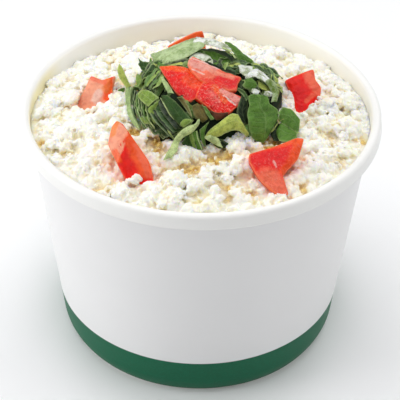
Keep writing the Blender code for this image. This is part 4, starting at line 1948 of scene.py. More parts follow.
class Tone(Enum):
    """Tones of leaf, as linear colours."""

    # near black green: painted shade, for leaves and gaps deep among the others
    BLACK = (0.008, 0.020, 0.006)
    DARK = (0.026, 0.072, 0.014)
    GREEN = (0.092, 0.205, 0.034)
    MOSS = (0.200, 0.310, 0.062)
    LIME = (0.400, 0.470, 0.110)
    PALE = (0.365, 0.490, 0.235)
    LIGHT = (0.520, 0.640, 0.320)
    # pale grey-green: painted sheen of glossy leaves
    GREY = (0.450, 0.500, 0.360)
    OLIVE = (0.120, 0.095, 0.026)
    # dark red-brown: a leaf under the tomato, darkened as its painted shadow
    BROWN = (0.090, 0.022, 0.008)


@dataclass(frozen=True)
class Leaf:
    """A piece of leaf between two edges, each a row of pixels with heights, from base to tip."""

    name: str
    tone: Tone
    near: tuple[Spot, ...]
    far: tuple[Spot, ...]
    free: bool = False              # heights are over the rim, and not over the heap
    arch: float = 0.6               # rise of the middle over the edges
    ripple: float = 0.12
    shine: float = 0.0
    veined: float = 0.4
    rim: float = 0.55               # how pale the cut edges are
    smooth: float = 0.45            # how round its outline is, from 0 to 1


@dataclass(frozen=True)
class Fan:
    """Ribbons of leaf side by side, laid out between a first and a last one."""

    name: str
    tones: tuple[Tone, ...]
    first: tuple[Spot, ...]
    last: tuple[Spot, ...]
    count: int
    width: float
    lean: float                     # 0 lies flat and 90 stands on its edge, in degrees
    rims: tuple[float, ...] = (0.9,)            # how pale the cut edges of each ribbon are, in turn
    wave: float = 0.3


LEAVES = (
    Leaf("back_cover", Tone.PALE,
         ((152, 57.5, 6.5), (160, 61.5, 10), (168, 62.8, 12), (178.8, 59.8, 13.2), (188.4, 56.6, 13.9),
          (196, 51.8, 14.3), (205, 46.5, 14.6)),
         ((151, 54, 6.5), (156, 52.5, 7.6), (164, 49.6, 9.6), (174, 45.4, 11.6), (184, 41.4, 13),
          (192, 38.4, 13.8), (200, 37, 14.4)), free=True, arch=0.5, shine=0.12, rim=0.7, ripple=0.05,
         veined=0.1),
    Leaf("back_shade", Tone.DARK,
         ((173, 64.6, 12.2), (180, 63.8, 12.8), (188.4, 62.8, 13.2)),
         ((176, 59.4, 11.6), (182, 56.6, 12.2), (191, 52.4, 12.6)), free=True, arch=-0.3, rim=0.3),
    Leaf("back_edge", Tone.LIME,
         ((167.4, 66.4, 12.4), (175, 65.4, 13), (181.4, 65.6, 13.2), (187, 66.8, 13.2)),
         ((168.4, 64.2, 12.2), (175.6, 63.6, 12.8), (181.8, 62.2, 13), (187.2, 65.2, 13)), free=True,
         arch=0.3, rim=0.9),
    Leaf("back_gloss", Tone.GREY,
         ((192, 45.5, 14), (205, 44.5, 14.8), (216, 47, 15), (229, 51.5, 14.4)),
         ((197, 37, 14.2), (214, 39.5, 15), (226, 44.5, 15), (232, 49.5, 14.2)), free=True, arch=0.6,
         shine=0.9, rim=0.3, ripple=0.05, veined=0.0),
    Leaf("back_right", Tone.GREEN,
         ((224.6, 42.5, 12.5), (229, 47.5, 12.8), (233.5, 52.7, 12.6), (237.5, 59.6, 11.8), (243, 64.6, 10),
          (251.3, 64.8, 8.5)),
         ((224.6, 41.8, 12.5), (229, 43, 12.5), (236.5, 48.7, 12), (245.4, 55.7, 11), (251.3, 59.6, 9.5),
          (254.3, 63, 8.2)), free=True, arch=1.0),
    Leaf("back_hollow", Tone.GREEN,
         ((203, 63, 14), (212, 67, 14.6), (224, 71, 14.4), (234, 70, 13.4)),
         ((204, 51, 12.4), (214, 50, 12.6), (226, 52, 12.4), (236, 61, 11.6)), free=True, arch=-0.8,
         rim=0.3),
    # Near black sheets in the hollow: painted shade.
    Leaf("hollow_dark", Tone.BLACK,
         ((201, 50.4, 14.2), (213, 51.6, 14.6), (224, 55.4, 14.4), (232, 62, 13.6)),
         ((201, 48.8, 14.2), (214, 48.8, 14.8), (225, 51.4, 14.8), (234.6, 58.6, 13.8)), free=True, arch=0.2,
         rim=0.1, veined=0.0),
    Leaf("hollow_line", Tone.LIGHT,
         ((222, 47.6, 15.2), (230, 51.8, 15), (235.4, 58.6, 14)),
         ((223, 46.8, 15.2), (231, 50.8, 15), (236.4, 58, 14)), free=True, arch=0.1),
    # A near black sheet at the hollow's foot: painted shade.
    Leaf("hollow_foot", Tone.BLACK,
         ((204, 63.4, 14.5), (214, 67.8, 14.9), (226, 72.4, 14.7), (236, 76, 14)),
         ((205.4, 60.6, 14.1), (215, 64.8, 14.5), (227, 69.2, 14.3), (236, 72.6, 13.6)), free=True, arch=0.1,
         rim=0.3, veined=0.0),
    Leaf("back_lining", Tone.GREY,
         ((189, 58.5, 13.4), (198, 60, 13.8), (206, 61.5, 14.2), (213, 64, 14.4)),
         ((193, 53.5, 12.6), (202, 53, 12.8), (208, 55, 13.2), (213, 60, 13.8)), free=True, arch=0.3,
         shine=0.6, rim=0.3),
    Leaf("back_left", Tone.GREEN,
         ((155, 70, 0.8), (160, 71, 0.9), (166, 71, 0.9), (171, 69, 0.9)),
         ((153, 57, 1), (159, 62, 1), (165, 65, 1), (171, 65, 1)), arch=0.5),
    Leaf("back_fold", Tone.PALE,
         ((151.2, 55.5, 7.4), (155, 63.5, 8.6), (158.8, 68.6, 9.4)),
         ((151.6, 54.6, 7.6), (161, 58.5, 9.8), (168.5, 64, 11.4)), free=True, arch=0.5, rim=0.8),
    Leaf("left_dark", Tone.DARK,
         ((138.3, 64, 5.6), (142, 70.5, 7), (147, 73, 8.2), (152.5, 71, 9.4)),
         ((138.2, 57.8, 5.8), (143, 61.8, 6.6), (148.6, 61.6, 7.8), (154.6, 64.5, 9.6)), free=True,
         arch=-0.7, rim=0.6),
    Leaf("left_horn", Tone.GREEN,
         ((148.4, 63.5, 7.8), (150.6, 58, 8)),
         ((153.6, 66.5, 9.2), (151.2, 57.8, 8.2)), free=True, arch=0.3, rim=0.7),
    Leaf("left_small", Tone.MOSS,
         ((136.4, 75.5, 1.6), (136, 81, 1.5), (137, 87.5, 1.2)),
         ((140.4, 75.5, 1.8), (142, 79.5, 1.7), (138.8, 87, 1.3)), arch=0.4),
    Leaf("left_upright", Tone.LIME,
         ((119, 64, 7.5), (117.2, 69, 6.9), (119, 77, 5.6), (126.5, 88.5, 3.6)),
         ((119.6, 63.7, 7.5), (123, 69, 6.9), (126.5, 77, 5.6), (131, 87, 3.8)), free=True, arch=0.5,
         rim=0.7),
    Leaf("left_tiny", Tone.GREEN,
         ((118, 90, 0.6), (117, 95, 0.6), (119, 100, 0.4)),
         ((125, 88, 0.8), (124, 94, 0.8), (122, 99, 0.5)), arch=0.4),
    Leaf("left_outer", Tone.PALE,
         ((126.6, 84, 2), (125.2, 94.6, 1.9), (125.8, 107.4, 1.9), (129.7, 118.9, 1.7), (135.5, 127, 1.4),
          (139.6, 130.6, 1)),
         ((130, 87, 2.8), (130.4, 95, 3), (130.2, 105, 3), (133, 115, 2.7), (137.4, 124, 2.1),
          (140.2, 129.8, 1.4)), arch=0.4, rim=0.6, veined=0.1, smooth=0.8),
    Leaf("left_square", Tone.MOSS,
         ((137.6, 96.4, 2.3), (142.4, 102, 2.4), (148.4, 107, 2.3)),
         ((143.8, 89.6, 2.3), (151, 91.4, 2.6), (159, 97.6, 2.5)), arch=0.3, rim=0.8, veined=1.0),
    Leaf("left_under", Tone.MOSS,
         ((147.2, 110.4, 1.7), (149.8, 113.6, 1.7), (152.6, 116.6, 1.6)),
         ((149.2, 107.6, 2), (154.4, 103.6, 2.1), (159.8, 99.4, 2.1)), arch=0.2, rim=0.6, veined=0.3),
    Leaf("left_foot", Tone.MOSS,
         ((141, 120, 0.7), (145.5, 124.2, 0.6), (150.5, 123.4, 0.6)),
         ((140, 116.6, 0.9), (144.5, 116.4, 1), (150.2, 117.6, 1)), arch=0.3, rim=0.7),
    Leaf("left_foot_small", Tone.MOSS,
         ((151, 118, 0.9), (152.6, 121.4, 0.8), (154.8, 123.8, 0.6)),
         ((151.8, 116.4, 1), (155, 119.2, 0.9), (156.4, 123, 0.7)), arch=0.3, rim=0.6),
    Leaf("dark_right", Tone.DARK,
         ((161.2, 96, 2.3), (166, 107.4, 2.3), (170.8, 115.4, 2.3), (175.4, 121, 2.1), (180.8, 127, 1.8)),
         ((167, 95, 2.5), (175, 101, 2.5), (181.5, 107.8, 2.5), (187, 114, 2.3), (191.6, 119.4, 2)),
         arch=0.7, rim=0.25, veined=0.25),
    Leaf("dark_line", Tone.LIGHT,
         ((160.2, 98.2, 2.6), (165.4, 107.8, 2.7), (169.8, 115.6, 2.6), (173.9, 119.8, 2.4)),
         ((160.9, 97.6, 2.6), (166.3, 107.2, 2.7), (170.7, 115, 2.6), (174.3, 119.4, 2.4)), arch=0.1),
    Leaf("dark_sliver", Tone.LIME,
         ((166.4, 127.2, 1.9), (168.2, 132.4, 1.7), (173.6, 138.9, 1.3)),
         ((167.4, 126.8, 1.9), (170, 131.8, 1.7), (174.2, 138.4, 1.3)), arch=0.2, rim=0.8),
    Leaf("left_flap", Tone.PALE,
         ((161, 77.5, 1.6), (163, 84, 1.6), (168, 93.5, 1.4)),
         ((163, 77, 1.8), (169, 85, 1.8), (174, 93.5, 1.5)), arch=0.4, rim=0.9),
    Leaf("middle_olive", Tone.OLIVE,
         ((177.2, 97.6, 1.5), (181.5, 103.5, 1.6), (186.2, 110, 1.6), (191.6, 118.2, 1.4)),
         ((182.2, 96, 1.7), (186.2, 102.4, 1.8), (189.6, 108.4, 1.8), (192.4, 116.8, 1.5)), arch=0.4,
         rim=0.5, veined=0.3),
    Leaf("middle_shade", Tone.OLIVE,
         ((192, 107, 1), (193.4, 113.8, 1.1), (196, 119, 1.1), (203, 122.8, 0.9)),
         ((197.4, 103, 1.2), (202.4, 107.2, 1.3), (206.6, 113.8, 1.3), (208.2, 119, 1.1)), arch=0.5, rim=0.2,
         veined=0.3),
    Leaf("middle_pale", Tone.GREEN,
         ((202, 104, 1.5), (206, 113, 1.5), (210.6, 120.4, 1.4)),
         ((206.4, 107.6, 1.7), (210, 112.4, 1.7), (214.5, 119.4, 1.6)), arch=0.3, rim=0.5),
    # A brownish leaf under the tomato, darkened as painted shadow.
    Leaf("middle_brown", Tone.BROWN,
         ((211, 113.4, 0.9), (216.4, 120.6, 1), (225, 117.6, 0.9)),
         ((210, 110.6, 0.6), (218, 112.6, 0.6), (229, 112.4, 0.7)), arch=0.3, rim=0.1, veined=0.1),
    Leaf("right_shadow", Tone.BLACK,
         ((242, 94, 0), (238.5, 104, 0), (236.5, 112, 0.2), (242, 124, 0.4)),
         ((247, 93, 0.4), (248, 104, 0.5), (247, 114, 0.6), (248, 124, 0.6)), arch=0.3, rim=0.3),
    Leaf("right_slip", Tone.DARK,
         ((236.6, 89.6, 0.2), (242, 94.6, 0.6), (246.4, 101.6, 0.8)),
         ((238.4, 87.4, 0.4), (244.6, 91.4, 0.9), (248.6, 98.4, 1)), arch=0.3, rim=0.7),
    Leaf("right_glass", Tone.GREY,
         ((240, 73, 1), (246, 76, 1), (251, 76, 1)),
         ((238, 64.6, 1.2), (246, 65.5, 1.2), (253, 66.5, 1.2)), arch=0.4, shine=0.7),
    Leaf("bow_top", Tone.GREY,
         ((244.5, 79.6, 1.6), (250, 77.6, 2), (256, 77.2, 2.2), (262, 80.2, 2.2), (267.4, 85, 2.2)),
         ((245.4, 77, 1.4), (255.6, 68.8, 1.6), (261, 72, 1.6), (267, 77, 1.6), (272, 82.5, 1.6)), arch=0.9,
         shine=1.3, rim=0.6, ripple=0.05, veined=0.0),
    Leaf("bow_side", Tone.MOSS,
         ((264.5, 81.5, 2.2), (269.4, 88, 2.2), (272, 94, 2), (271.2, 102.4, 1.5)),
         ((269, 78.8, 1.8), (275, 83, 1.7), (279.4, 92, 1.4), (276.2, 102.2, 1.2)), arch=0.9, shine=0.3,
         rim=0.6, ripple=0.06, veined=0.2),
    Leaf("bow_inner", Tone.LIME,
         ((258.6, 86.8, 0.8), (264, 90.4, 0.8), (270.6, 91.6, 0.8)),
         ((258.4, 81.2, 0.9), (264, 84, 0.9), (271.2, 88.4, 0.9)), arch=-0.4, rim=0.3),
    Leaf("right_curl", Tone.GREEN,
         ((242.7, 84.6, 1.6), (245.4, 89, 1.7), (251, 90.6, 1.7), (256.6, 87.4, 1.6)),
         ((243.6, 82.6, 1.6), (247, 79.2, 1.8), (251.2, 77.2, 1.9), (256.4, 82.6, 1.7)), arch=1.0),
    Leaf("gloss_left", Tone.GREY,
         ((250.4, 91.6, 1.5), (254, 94.2, 1.5), (258.4, 94.2, 1.4)),
         ((252, 88.6, 1.7), (255.5, 88.4, 1.7), (259.6, 91.4, 1.5)), arch=0.4, shine=0.9, ripple=0.05),
    Leaf("gloss_right", Tone.GREY,
         ((263.4, 94.8, 1.7), (268, 96.6, 1.7), (272, 96.6, 1.5)),
         ((264.6, 91.4, 1.8), (268.6, 91, 1.8), (272.6, 92.4, 1.6)), arch=0.4, shine=1.0, ripple=0.05),
    Leaf("right_large", Tone.GREEN,
         ((248.4, 96.2, 1.8), (249, 104, 1.9), (247.4, 114, 1.9), (248.4, 123.9, 1.7), (251.3, 136.8, 1.4),
          (257.3, 141.7, 1), (263, 143, 0.6)),
         ((258, 94, 1.8), (268, 97, 1.8), (270, 104, 1.8), (278, 110, 1.6), (278, 118, 1.4), (272, 130, 1.2),
          (267, 138.7, 0.9), (263.5, 142.7, 0.6)), arch=0.9, rim=0.3),
    # A near black sheet in the gap between leaves: painted shade.
    Leaf("right_gap", Tone.BLACK,
         ((270.6, 135, 0.5), (274, 140.6, 0.5), (281, 141.6, 0.5)),
         ((277, 120, 0.7), (281, 126, 0.7), (286, 130, 0.7)), arch=0.1, rim=0.1),
    Leaf("right_upper", Tone.GREEN,
         ((277.8, 117.4, 1.7), (281, 123.8, 1.8), (288.4, 127.4, 1.9), (297.2, 134.2, 1.8)),
         ((277.6, 113, 1.6), (282.8, 107, 1.7), (290.6, 108.6, 1.8), (300.2, 119.4, 2), (298.8, 131, 2)),
         arch=0.6, rim=0.9, smooth=0.2),
    Leaf("right_lower", Tone.GREEN,
         ((276.4, 134.4, 1.2), (279.4, 140.8, 1.2), (286.4, 141.8, 1.4), (296.9, 138.8, 1.5)),
         ((278.6, 128.4, 1.4), (281, 123.2, 1.6), (288, 127.2, 1.6), (296.8, 133.8, 1.7)), arch=0.5, rim=0.8,
         smooth=0.2),
    Leaf("right_vein", Tone.LIME,
         ((270.5, 132.5, 1.6), (278, 122.5, 2), (286, 117.5, 1.8)),
         ((272.5, 131.5, 1.6), (280, 121.5, 2), (287, 116, 1.8)), arch=0.2),
    Leaf("front_broad", Tone.LIME,
         ((205.6, 138.2, 1.7), (212, 137.6, 1.8), (219.6, 136.4, 1.8), (224.5, 133.6, 1.8), (235, 130, 1.7),
          (240, 131.6, 1.5), (247, 137, 1)),
         ((204.2, 137, 1.7), (209, 130.5, 1.9), (221, 121, 1.9), (232.2, 113.4, 1.9), (237.4, 114.2, 1.8),
          (242.6, 123, 1.6), (248.4, 133, 1.1)), arch=0.9, rim=0.8, veined=0.5),
    Leaf("front_flap", Tone.LIGHT,
         ((204.4, 138, 2.1), (209.5, 141.6, 1.9), (216, 145.2, 1.6), (222.2, 148.2, 1.2)),
         ((204.6, 136.4, 2.2), (211, 134.4, 2.5), (218.6, 138.4, 2.3), (222.6, 147, 1.3)), arch=0.3, rim=1.0,
         veined=0.7, smooth=0.2),
    Leaf("front_shade", Tone.BLACK,
         ((213, 145, 0.5), (219, 148.6, 0.5), (226, 148.4, 0.4)),
         ((218, 138, 0.8), (224, 140.4, 0.7), (230.2, 144.8, 0.5)), arch=0.2, rim=0.3),
    Leaf("front_side", Tone.GREEN,
         ((199.6, 129.6, 1.4), (200.4, 138, 1.2), (204.6, 148, 0.8)),
         ((209.4, 121, 1.7), (204.8, 132, 1.8), (205.6, 146.6, 1)), arch=0.6, rim=0.7),
    Leaf("stack_dark", Tone.DARK,
         ((181.4, 142.5, 1.3), (184, 147.6, 1), (190, 149.6, 0.7)),
         ((187.4, 133.4, 1.8), (190.4, 139, 1.5), (193.6, 148.4, 0.9)), arch=0.6, rim=0.2, veined=0.2),
    Leaf("stack_wedge", Tone.MOSS,
         ((188.4, 133.2, 1.9), (190.2, 140, 1.7), (193.2, 148.8, 1.1)),
         ((192.2, 131.4, 2), (194.2, 139, 1.8), (196.2, 148.2, 1.2)), arch=0.3, rim=0.4, veined=0.2),
    Leaf("stack_shade", Tone.GREEN,
         ((192.2, 132, 1.5), (194.6, 140, 1.4), (197, 149, 0.8)),
         ((197.4, 130.4, 1.7), (199.6, 139, 1.5), (203.6, 149.8, 0.9)), arch=0.4, rim=0.1, veined=0.2),
    Leaf("stack_line", Tone.LIGHT,
         ((196, 131.4, 2.1), (197.2, 138.6, 1.9), (201.8, 149.8, 1.2)),
         ((197, 130.8, 2.1), (198.3, 138, 1.9), (202.8, 149.4, 1.2)), arch=0.1),
    Leaf("front_strip", Tone.LIGHT,
         ((197.6, 119.6, 2), (194.8, 124, 2.5), (188.4, 125.6, 3), (179.8, 131.6, 3.1), (175, 137.6, 3.1),
          (170.8, 146, 2.9), (166.4, 153.6, 2.6), (163.2, 159.8, 2.3)),
         ((199.6, 119.2, 2), (199.6, 123.6, 2.5), (193, 132, 2.9), (182.6, 138.4, 3.1), (179, 143.2, 3.1),
          (177.6, 150.8, 2.9), (171.6, 156.6, 2.6), (163.8, 160.4, 2.3)), arch=0.5, rim=0.8, veined=0.2),
    Leaf("front_round", Tone.MOSS,
         ((180.4, 125.4, 2.8), (183, 127.2, 2.9), (188.2, 124.6, 3), (192, 121.4, 2.9)),
         ((180.2, 123, 2.8), (183.2, 119.3, 3), (190.2, 119.1, 3), (192.4, 120.4, 2.9)), arch=0.5),
)

FANS = (
    Fan("dark_block", (Tone.BLACK, Tone.DARK, Tone.BLACK, Tone.DARK),
        ((161, 100, 1.5), (168, 113, 1.6), (179, 129, 1.4)),
        ((153, 113, 1.3), (160.5, 122, 1.3), (173, 136, 1.1)), 4, 3.9, 12, (0.1, 0.35, 0.1, 0.5), 0.10),
    Fan("left_stack", (Tone.PALE, Tone.DARK, Tone.BLACK, Tone.GREEN),
        ((132, 88, 0.8), (131, 100, 0.8), (133, 114, 0.8), (140, 128, 0.6)),
        ((147, 104, 0.6), (147, 112, 0.6), (150, 122, 0.6), (155, 129, 0.4)), 9, 2.2, 62, (0.9, 0.4), 0.3),
    Fan("left_crinkle", (Tone.GREEN, Tone.MOSS, Tone.DARK),
        ((145, 86, 1.2), (150, 78, 1.3), (157, 71, 1.3)),
        ((152, 89, 1.2), (158, 83, 1.3), (164, 76, 1.3)), 5, 2.1, 28, (0.6, 0.3), 0.5),
)


@dataclass
class HerbHeap:
    """The leaves: a core of painted shade, the pieces seen in the photograph, and shreds that fill the rest.
    """

    heap: HeapShape
    sight: Sight
    noise: Grain
    thick: float = 0.26
    core_drop: float = 1.7          # how far the dark core lies under the heap's top
    core_share: float = 0.90        # its outline over the heap's
    core_foot: float = 2.5          # how far it reaches down into the curd
    stations: int = 36              # points along a ribbon
    shreds: int = 220
    back_shreds: int = 90           # more shreds, for the side away from the viewer
    shred_length: Pair = (6, 14)
    shred_width: Pair = (1.4, 3.6)
    shade: Pair = (0.75, 1.3)       # factors on a tone, at its darkest and lightest
    tones: tuple[Tone, ...] = (Tone.DARK, Tone.DARK, Tone.GREEN, Tone.MOSS, Tone.BLACK, Tone.LIME)

    def __post_init__(self) -> None:
        """Seed the random draws."""
        self.rng = np.random.default_rng(7)

    def core(self) -> Skin:
        """Return the mound under the leaves, a polar grid at a depth below their heap, near black as painted
        shade.

        Returns:
            The closed mound, marked with its tone.
        """
        angles = np.linspace(0, math.tau, 150, endpoint=False)
        shares = np.linspace(1, 0.02, 40)[:, None] * self.core_share
        drawn = 1 - 0.07 * smoothstep(0.4, 1.0, np.cos(angles - 0.2))
        reach = self.heap.reach(angles) * shares * drawn
        x, y = self.heap.herb_x + reach * np.cos(angles), reach * np.sin(angles)
        z = self.heap.top(x, y) - self.core_drop - 1.5 * smoothstep(0.6, 1.0, shares / self.core_share)
        z += 0.7 * self.noise(np.stack([x, y, z], -1), 2.2)
        top = np.stack([x, y, z], axis=-1)
        below = top[:1].copy()
        below[..., 2] = self.heap.level(below[..., 0], below[..., 1]) - self.core_foot
        hub = below[0].mean(0)
        under = np.concatenate([(below[0] - hub)[None] * share + hub for share in (0.05, 0.6)])
        rings = np.concatenate([under, below, top])
        # The mound is near black: painted shade between the leaves.
        tone = np.broadcast_to((*Tone.BLACK.value, 1.0), (*rings.shape[:2], 4))
        return Skin.of_rings(rings, Ends.POLE, {"tone": tone})

    def sheet(self, near: Array, far: Array, tone: Colour, arch: float, ripple: float, shine: float,
              veined: float, rim: float) -> Skin:
        """Return a thin closed slab between two edges.

        A point goes a share v of the way from one edge to the other. The surface rises by arch
        times 4 v (1 - v) along its normal, and by ripples that are strongest at the edges; half a
        thickness to both sides makes the slab, which thins out towards its edges.

        Args:
            near: One edge, from base to tip.
            far: The other edge, with as many points.
            tone: Linear colour of the piece.
            arch: Rise of the middle.
            ripple: Height of the ripples.
            shine: How much white highlight is painted on, and how glossy it is.
            veined: How strong its veins are.
            rim: How pale its cut edges are.

        Returns:
            The closed slab with the marks that its finish reads.
        """
        stations = len(near)
        width = np.linalg.norm(far - near, axis=1)
        columns = int(np.clip(width.max() / 0.5, 6, 18))
        v = np.linspace(0, 1, columns)
        base = near[:, None] * (1 - v[None, :, None]) + far[:, None] * v[None, :, None]
        ahead = np.gradient(base, axis=0)
        over = (far - near)[:, None] + 0 * base
        normal = unit(np.cross(ahead, over))
        normal *= np.where(normal[..., 2:] * 0.8 - normal[..., 1:2] * 0.5 < 0, -1.0, 1.0)
        length = np.concatenate([[0], np.cumsum(np.linalg.norm(np.diff((near + far) / 2, axis=0), axis=1))])
        phase = self.rng.uniform(0, math.tau, 2)
        edge_ness = np.abs(2 * v - 1) ** 1.5
        wave = np.sin(length[:, None] * 1.3 + phase[0] + 2.0 * v) * edge_ness
        wave = wave + 0.6 * np.sin(length[:, None] * 2.6 + phase[1] - 3.0 * v)
        rise = arch * 4 * v * (1 - v) * np.minimum(1, width / 3.0)[:, None]
        rise = rise + ripple * (wave + self.noise(base, 2.0))
        middle = base + normal * rise[..., None]
        inner = np.minimum(v, 1 - v) * width[:, None]
        ends = np.minimum(length, length[-1] - length)[:, None] + 0 * inner
        half = (self.thick / 2 * (0.35 + 0.65 * smoothstep(0, 0.5, inner)))[..., None]
        slab = np.concatenate([middle + normal * half, (middle - normal * half)[:, ::-1]], axis=1)
        rim_share = rim * (1 - smoothstep(0.10, 0.45, np.minimum(inner, ends + 0.1)))
        even = np.ones(inner.shape)
        both = {"across": (2 * v - 1) * even, "along": length[:, None] * even, "rim": rim_share,
                "shine": shine * even, "veined": veined * even}
        marks = {key: np.concatenate([value, value[:, ::-1]], axis=1) for key, value in both.items()}
        marks["below"] = np.concatenate([0 * even, even], axis=1)
        marks["tone"] = np.broadcast_to((*tone, 1.0), (stations, 2 * columns, 4))
        return Skin.of_rings(slab, Ends.STRIP, marks)

    def traced(self, leaf: Leaf) -> Skin:
        """Return a leaf of the photograph.

        Args:
            leaf: The leaf's edges as pixels, and its looks.

        Returns:
            The closed leaf.
        """
        both = (leaf.near, leaf.far)
        if leaf.free:
            edges = [self.sight.over_rim(spots) for spots in both]
        else:
            edges = [self.sight.on_heap(spots, self.heap.top) for spots in both]
        length = max(np.linalg.norm(np.diff(edge, axis=0), axis=1).sum() for edge in edges)
        count = int(np.clip(length / 0.45, 12, 64))
        near, far = (curve(edge, count, leaf.smooth) for edge in edges)
        log.debug("%s: %.1f mm long", leaf.name, length)
        return self.sheet(near, far, leaf.tone.value, leaf.arch, leaf.ripple, leaf.shine,
                          leaf.veined, leaf.rim)

    def fanned(self, fan: Fan) -> Skin:
        """Return a fan's ribbons: each has a middle line between the guides, and leans over.

        Args:
            fan: The fan's guides as pixels, and its looks.

        Returns:
            One skin with all the ribbons.
        """
        first = self.sight.on_heap(fan.first, self.heap.top)
        last = self.sight.on_heap(fan.last, self.heap.top)
        bodies = []
        for number in range(fan.count):
            share = (number + self.rng.uniform(-0.25, 0.25)) / (fan.count - 1)
            middle = curve(first * (1 - share) + last * share, self.stations)
            drift = [self.noise(middle + 11 * number + k, 4.0) for k in range(3)]
            middle = middle + fan.wave * np.stack(drift, 1)
            tilt = math.radians(fan.lean + self.rng.uniform(-9, 9))
            taper = 0.55 + 0.45 * np.sin(np.linspace(0.15, math.pi - 0.15, self.stations))
            near, far = self.edges(middle, fan.width * taper, tilt)
            tone = self.varied(fan.tones[number % len(fan.tones)], self.rng)
            rim = fan.rims[number % len(fan.rims)]
            bodies.append(self.sheet(near, far, tone, 0.15, 0.3 * fan.wave, 0.05, 0.4, rim))
        log.debug("%s: %d ribbons", fan.name, fan.count)
        return Skin.joined(bodies)

    def edges(self, middle: Array, width: Array, tilt: float) -> tuple[Array, Array]:
        """Return the edges of a ribbon that leans over by an angle about its middle line.

        Args:
            middle: The middle line, one point a row.
            width: The ribbon's width at each point.
            tilt: The angle, in radians.

        Returns:
            The points of both edges.
        """
        ahead = unit(np.gradient(middle, axis=0))
        side = unit(np.cross(ahead, (0.0, 0.0, 1.0)))
        over = unit(np.cross(side, ahead))
        reach = (side * math.cos(tilt) + over * math.sin(tilt)) * (width / 2)[:, None]
        return middle - reach, middle + reach

    def varied(self, tone: Tone, rng: np.random.Generator) -> Colour:
        """Return a tone that is a little lighter or darker at random."""
        return tuple(np.array(tone.value) * rng.uniform(*self.shade))

    def filler(self, number: int, pieces: Sequence[TomatoPiece]) -> Skin | None:
        """Return one shred that lies on the heap where chance puts it.

        Args:
            number: The shred's number, which seeds its draws. The last ones lie at the back.
            pieces: The tomato pieces, over which no shred runs.

        Returns:
            The shred, or None where a tomato lies or the heap ends.
        """
        rng = np.random.default_rng((7, number))
        behind = number >= self.shreds
        turn = rng.uniform(0.15, 0.85) * math.pi if behind else rng.uniform(0, math.tau)
        share = math.sqrt(rng.uniform(0.30 if behind else 0.0, 0.86))
        reach = self.heap.reach(turn) * share
        start = around(reach, turn, 0.0)[:2] + (self.heap.herb_x, 0.0)
        heading = turn + rng.normal(math.pi / 2, 0.9)
        length = rng.uniform(*self.shred_length)
        steps = np.linspace(-0.5, 0.5, 24) * length
        bend = rng.normal(0, 0.06) * steps + heading
        flat = start + np.stack([steps * np.cos(bend), steps * np.sin(bend)], axis=1)
        lift = rng.uniform(-1.5, -0.4) + (0.5 if behind else 0.0)
        z = self.heap.top(flat[:, 0], flat[:, 1]) + lift + 0.35 * np.sin(steps * 0.5)
        middle = np.c_[flat, z]
        swell = 0.25 + 0.75 * np.sin(np.linspace(0.1, math.pi - 0.1, 24))
        width = rng.uniform(*self.shred_width) * swell
        near, far = self.edges(middle, width * (1.4 if behind else 1.0), rng.normal(0, 0.5))
        past = np.max(self.heap.share(flat[:, 0], flat[:, 1])) > (0.92 if start[0] > 14 else 1.0)
        if past or any(piece.under(middle) for piece in pieces):
            return None
        tone = self.varied(self.tones[number % len(self.tones)], rng)
        return self.sheet(near, far, tone, rng.uniform(-0.3, 0.6), 0.2, 0.05, 0.7, 0.7)

    def build(self, pieces: Sequence[TomatoPiece]) -> None:
        """Make the core and the leaves, which together replace the CAD's heap.

        Args:
            pieces: The tomato pieces, over which no shred runs.
        """
        finish = LeafSkin().material()
        core = self.core().to_mesh("herb_core")
        place("herb_core", core, finish, "green_herb", "herb_heap")
        count = self.shreds + self.back_shreds
        groups = {
            "herb_leaves": [self.traced(leaf) for leaf in LEAVES],
            "herb_ribbons": [self.fanned(fan) for fan in FANS],
            "herb_shreds": [self.filler(number, pieces) for number in range(count)],
        }
        for name, bodies in groups.items():
            body = Skin.joined([body for body in bodies if body is not None])
            place(name, body.to_mesh(name), finish, "green_herb")


# ---------------------------------------------------------------- the studio

@dataclass(frozen=True)
class Lamp:
    """A square soft lamp that faces the tub; lengths are in metres and the power in watts."""

    place: Spot
    power: float
    size: float = 0.9
    target: Spot = (0, 0, 0.06)

    def build(self, name: str) -> None:
        """Put the lamp into the scene.

        Args:
            name: The lamp's name.
        """
        light = bpy.data.lights.new(name, "AREA")
        light.size = self.size
        light.energy = self.power
        lamp = bpy.data.objects.new(name, light)
        lamp.location = self.place
        lamp.rotation_euler = (Vector(self.target) - lamp.location).to_track_quat("-Z", "Y").to_euler()
        bpy.context.scene.collection.objects.link(lamp)


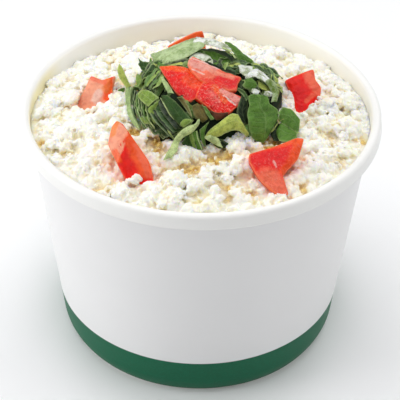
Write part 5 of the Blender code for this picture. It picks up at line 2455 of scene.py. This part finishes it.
@dataclass
class Studio:
    """The camera, a pale floor, a faint sky, and soft lamps above and on every side."""

    sight: Sight
    sky: Colour = (0.12, 0.12, 0.122)
    floor_size: float = 6.0         # metres
    floor_drop: float = 0.00005     # metres under the tub's foot
    lamps: tuple[Lamp, ...] = (
        Lamp((0.0, 0.0, 1.3), 7.8, 1.2),
        Lamp((-0.5, 0.6, 0.95), 3.1),
        Lamp((-1.2, -0.1, 0.5), 8.9),
        Lamp((1.2, 0.1, 0.5), 3.8),
        Lamp((0.0, -1.0, 1.0), 3.0),
        Lamp((0.6, 0.7, 0.9), 3.7),
    )

    def build(self) -> None:
        """Set up the camera, the lights and the floor."""
        scene = bpy.context.scene
        scene.view_settings.view_transform = "Standard"
        lens = bpy.data.cameras.new("camera")
        lens.lens = self.sight.lens
        lens.sensor_width = self.sight.sensor
        lens.clip_start, lens.clip_end = 0.01, 50.0
        camera = bpy.data.objects.new("camera", lens)
        camera.location = Vector(self.sight.place) * MM
        camera.rotation_euler = self.sight.turn().to_euler()
        scene.collection.objects.link(camera)
        scene.camera = camera
        world = bpy.data.worlds.new("sky")
        world.use_nodes = True
        world.node_tree.nodes["Background"].inputs["Color"].default_value = (*self.sky, 1.0)
        scene.world = world
        for number, lamp in enumerate(self.lamps):
            lamp.build(f"lamp_{number}")
        bpy.ops.mesh.primitive_plane_add(size=self.floor_size, location=(0, 0, -self.floor_drop))
        floor = bpy.context.object
        floor.name = "floor"
        floor.data.materials.append(PaleFloor().material())


# ---------------------------------------------------------------- assembly

def main() -> None:
    """Build the studio, the tub, the curd, the leaves and the tomato, logging their triangle counts."""
    logging.basicConfig(level=logging.INFO, format="%(message)s")
    sight, noise, heap, tub = Sight(), Grain(3), HeapShape(), TubShape()
    Studio(sight).build()
    PaperTub(tub).build()
    CurdHeap(tub, heap, sight, noise).build(TOMATOES)
    HerbHeap(heap, sight, noise).build(TOMATOES)
    flesh = TomatoFlesh().material()
    for piece in TOMATOES:
        piece.build(sight, noise, flesh)


if __name__ == "__main__":
    main()
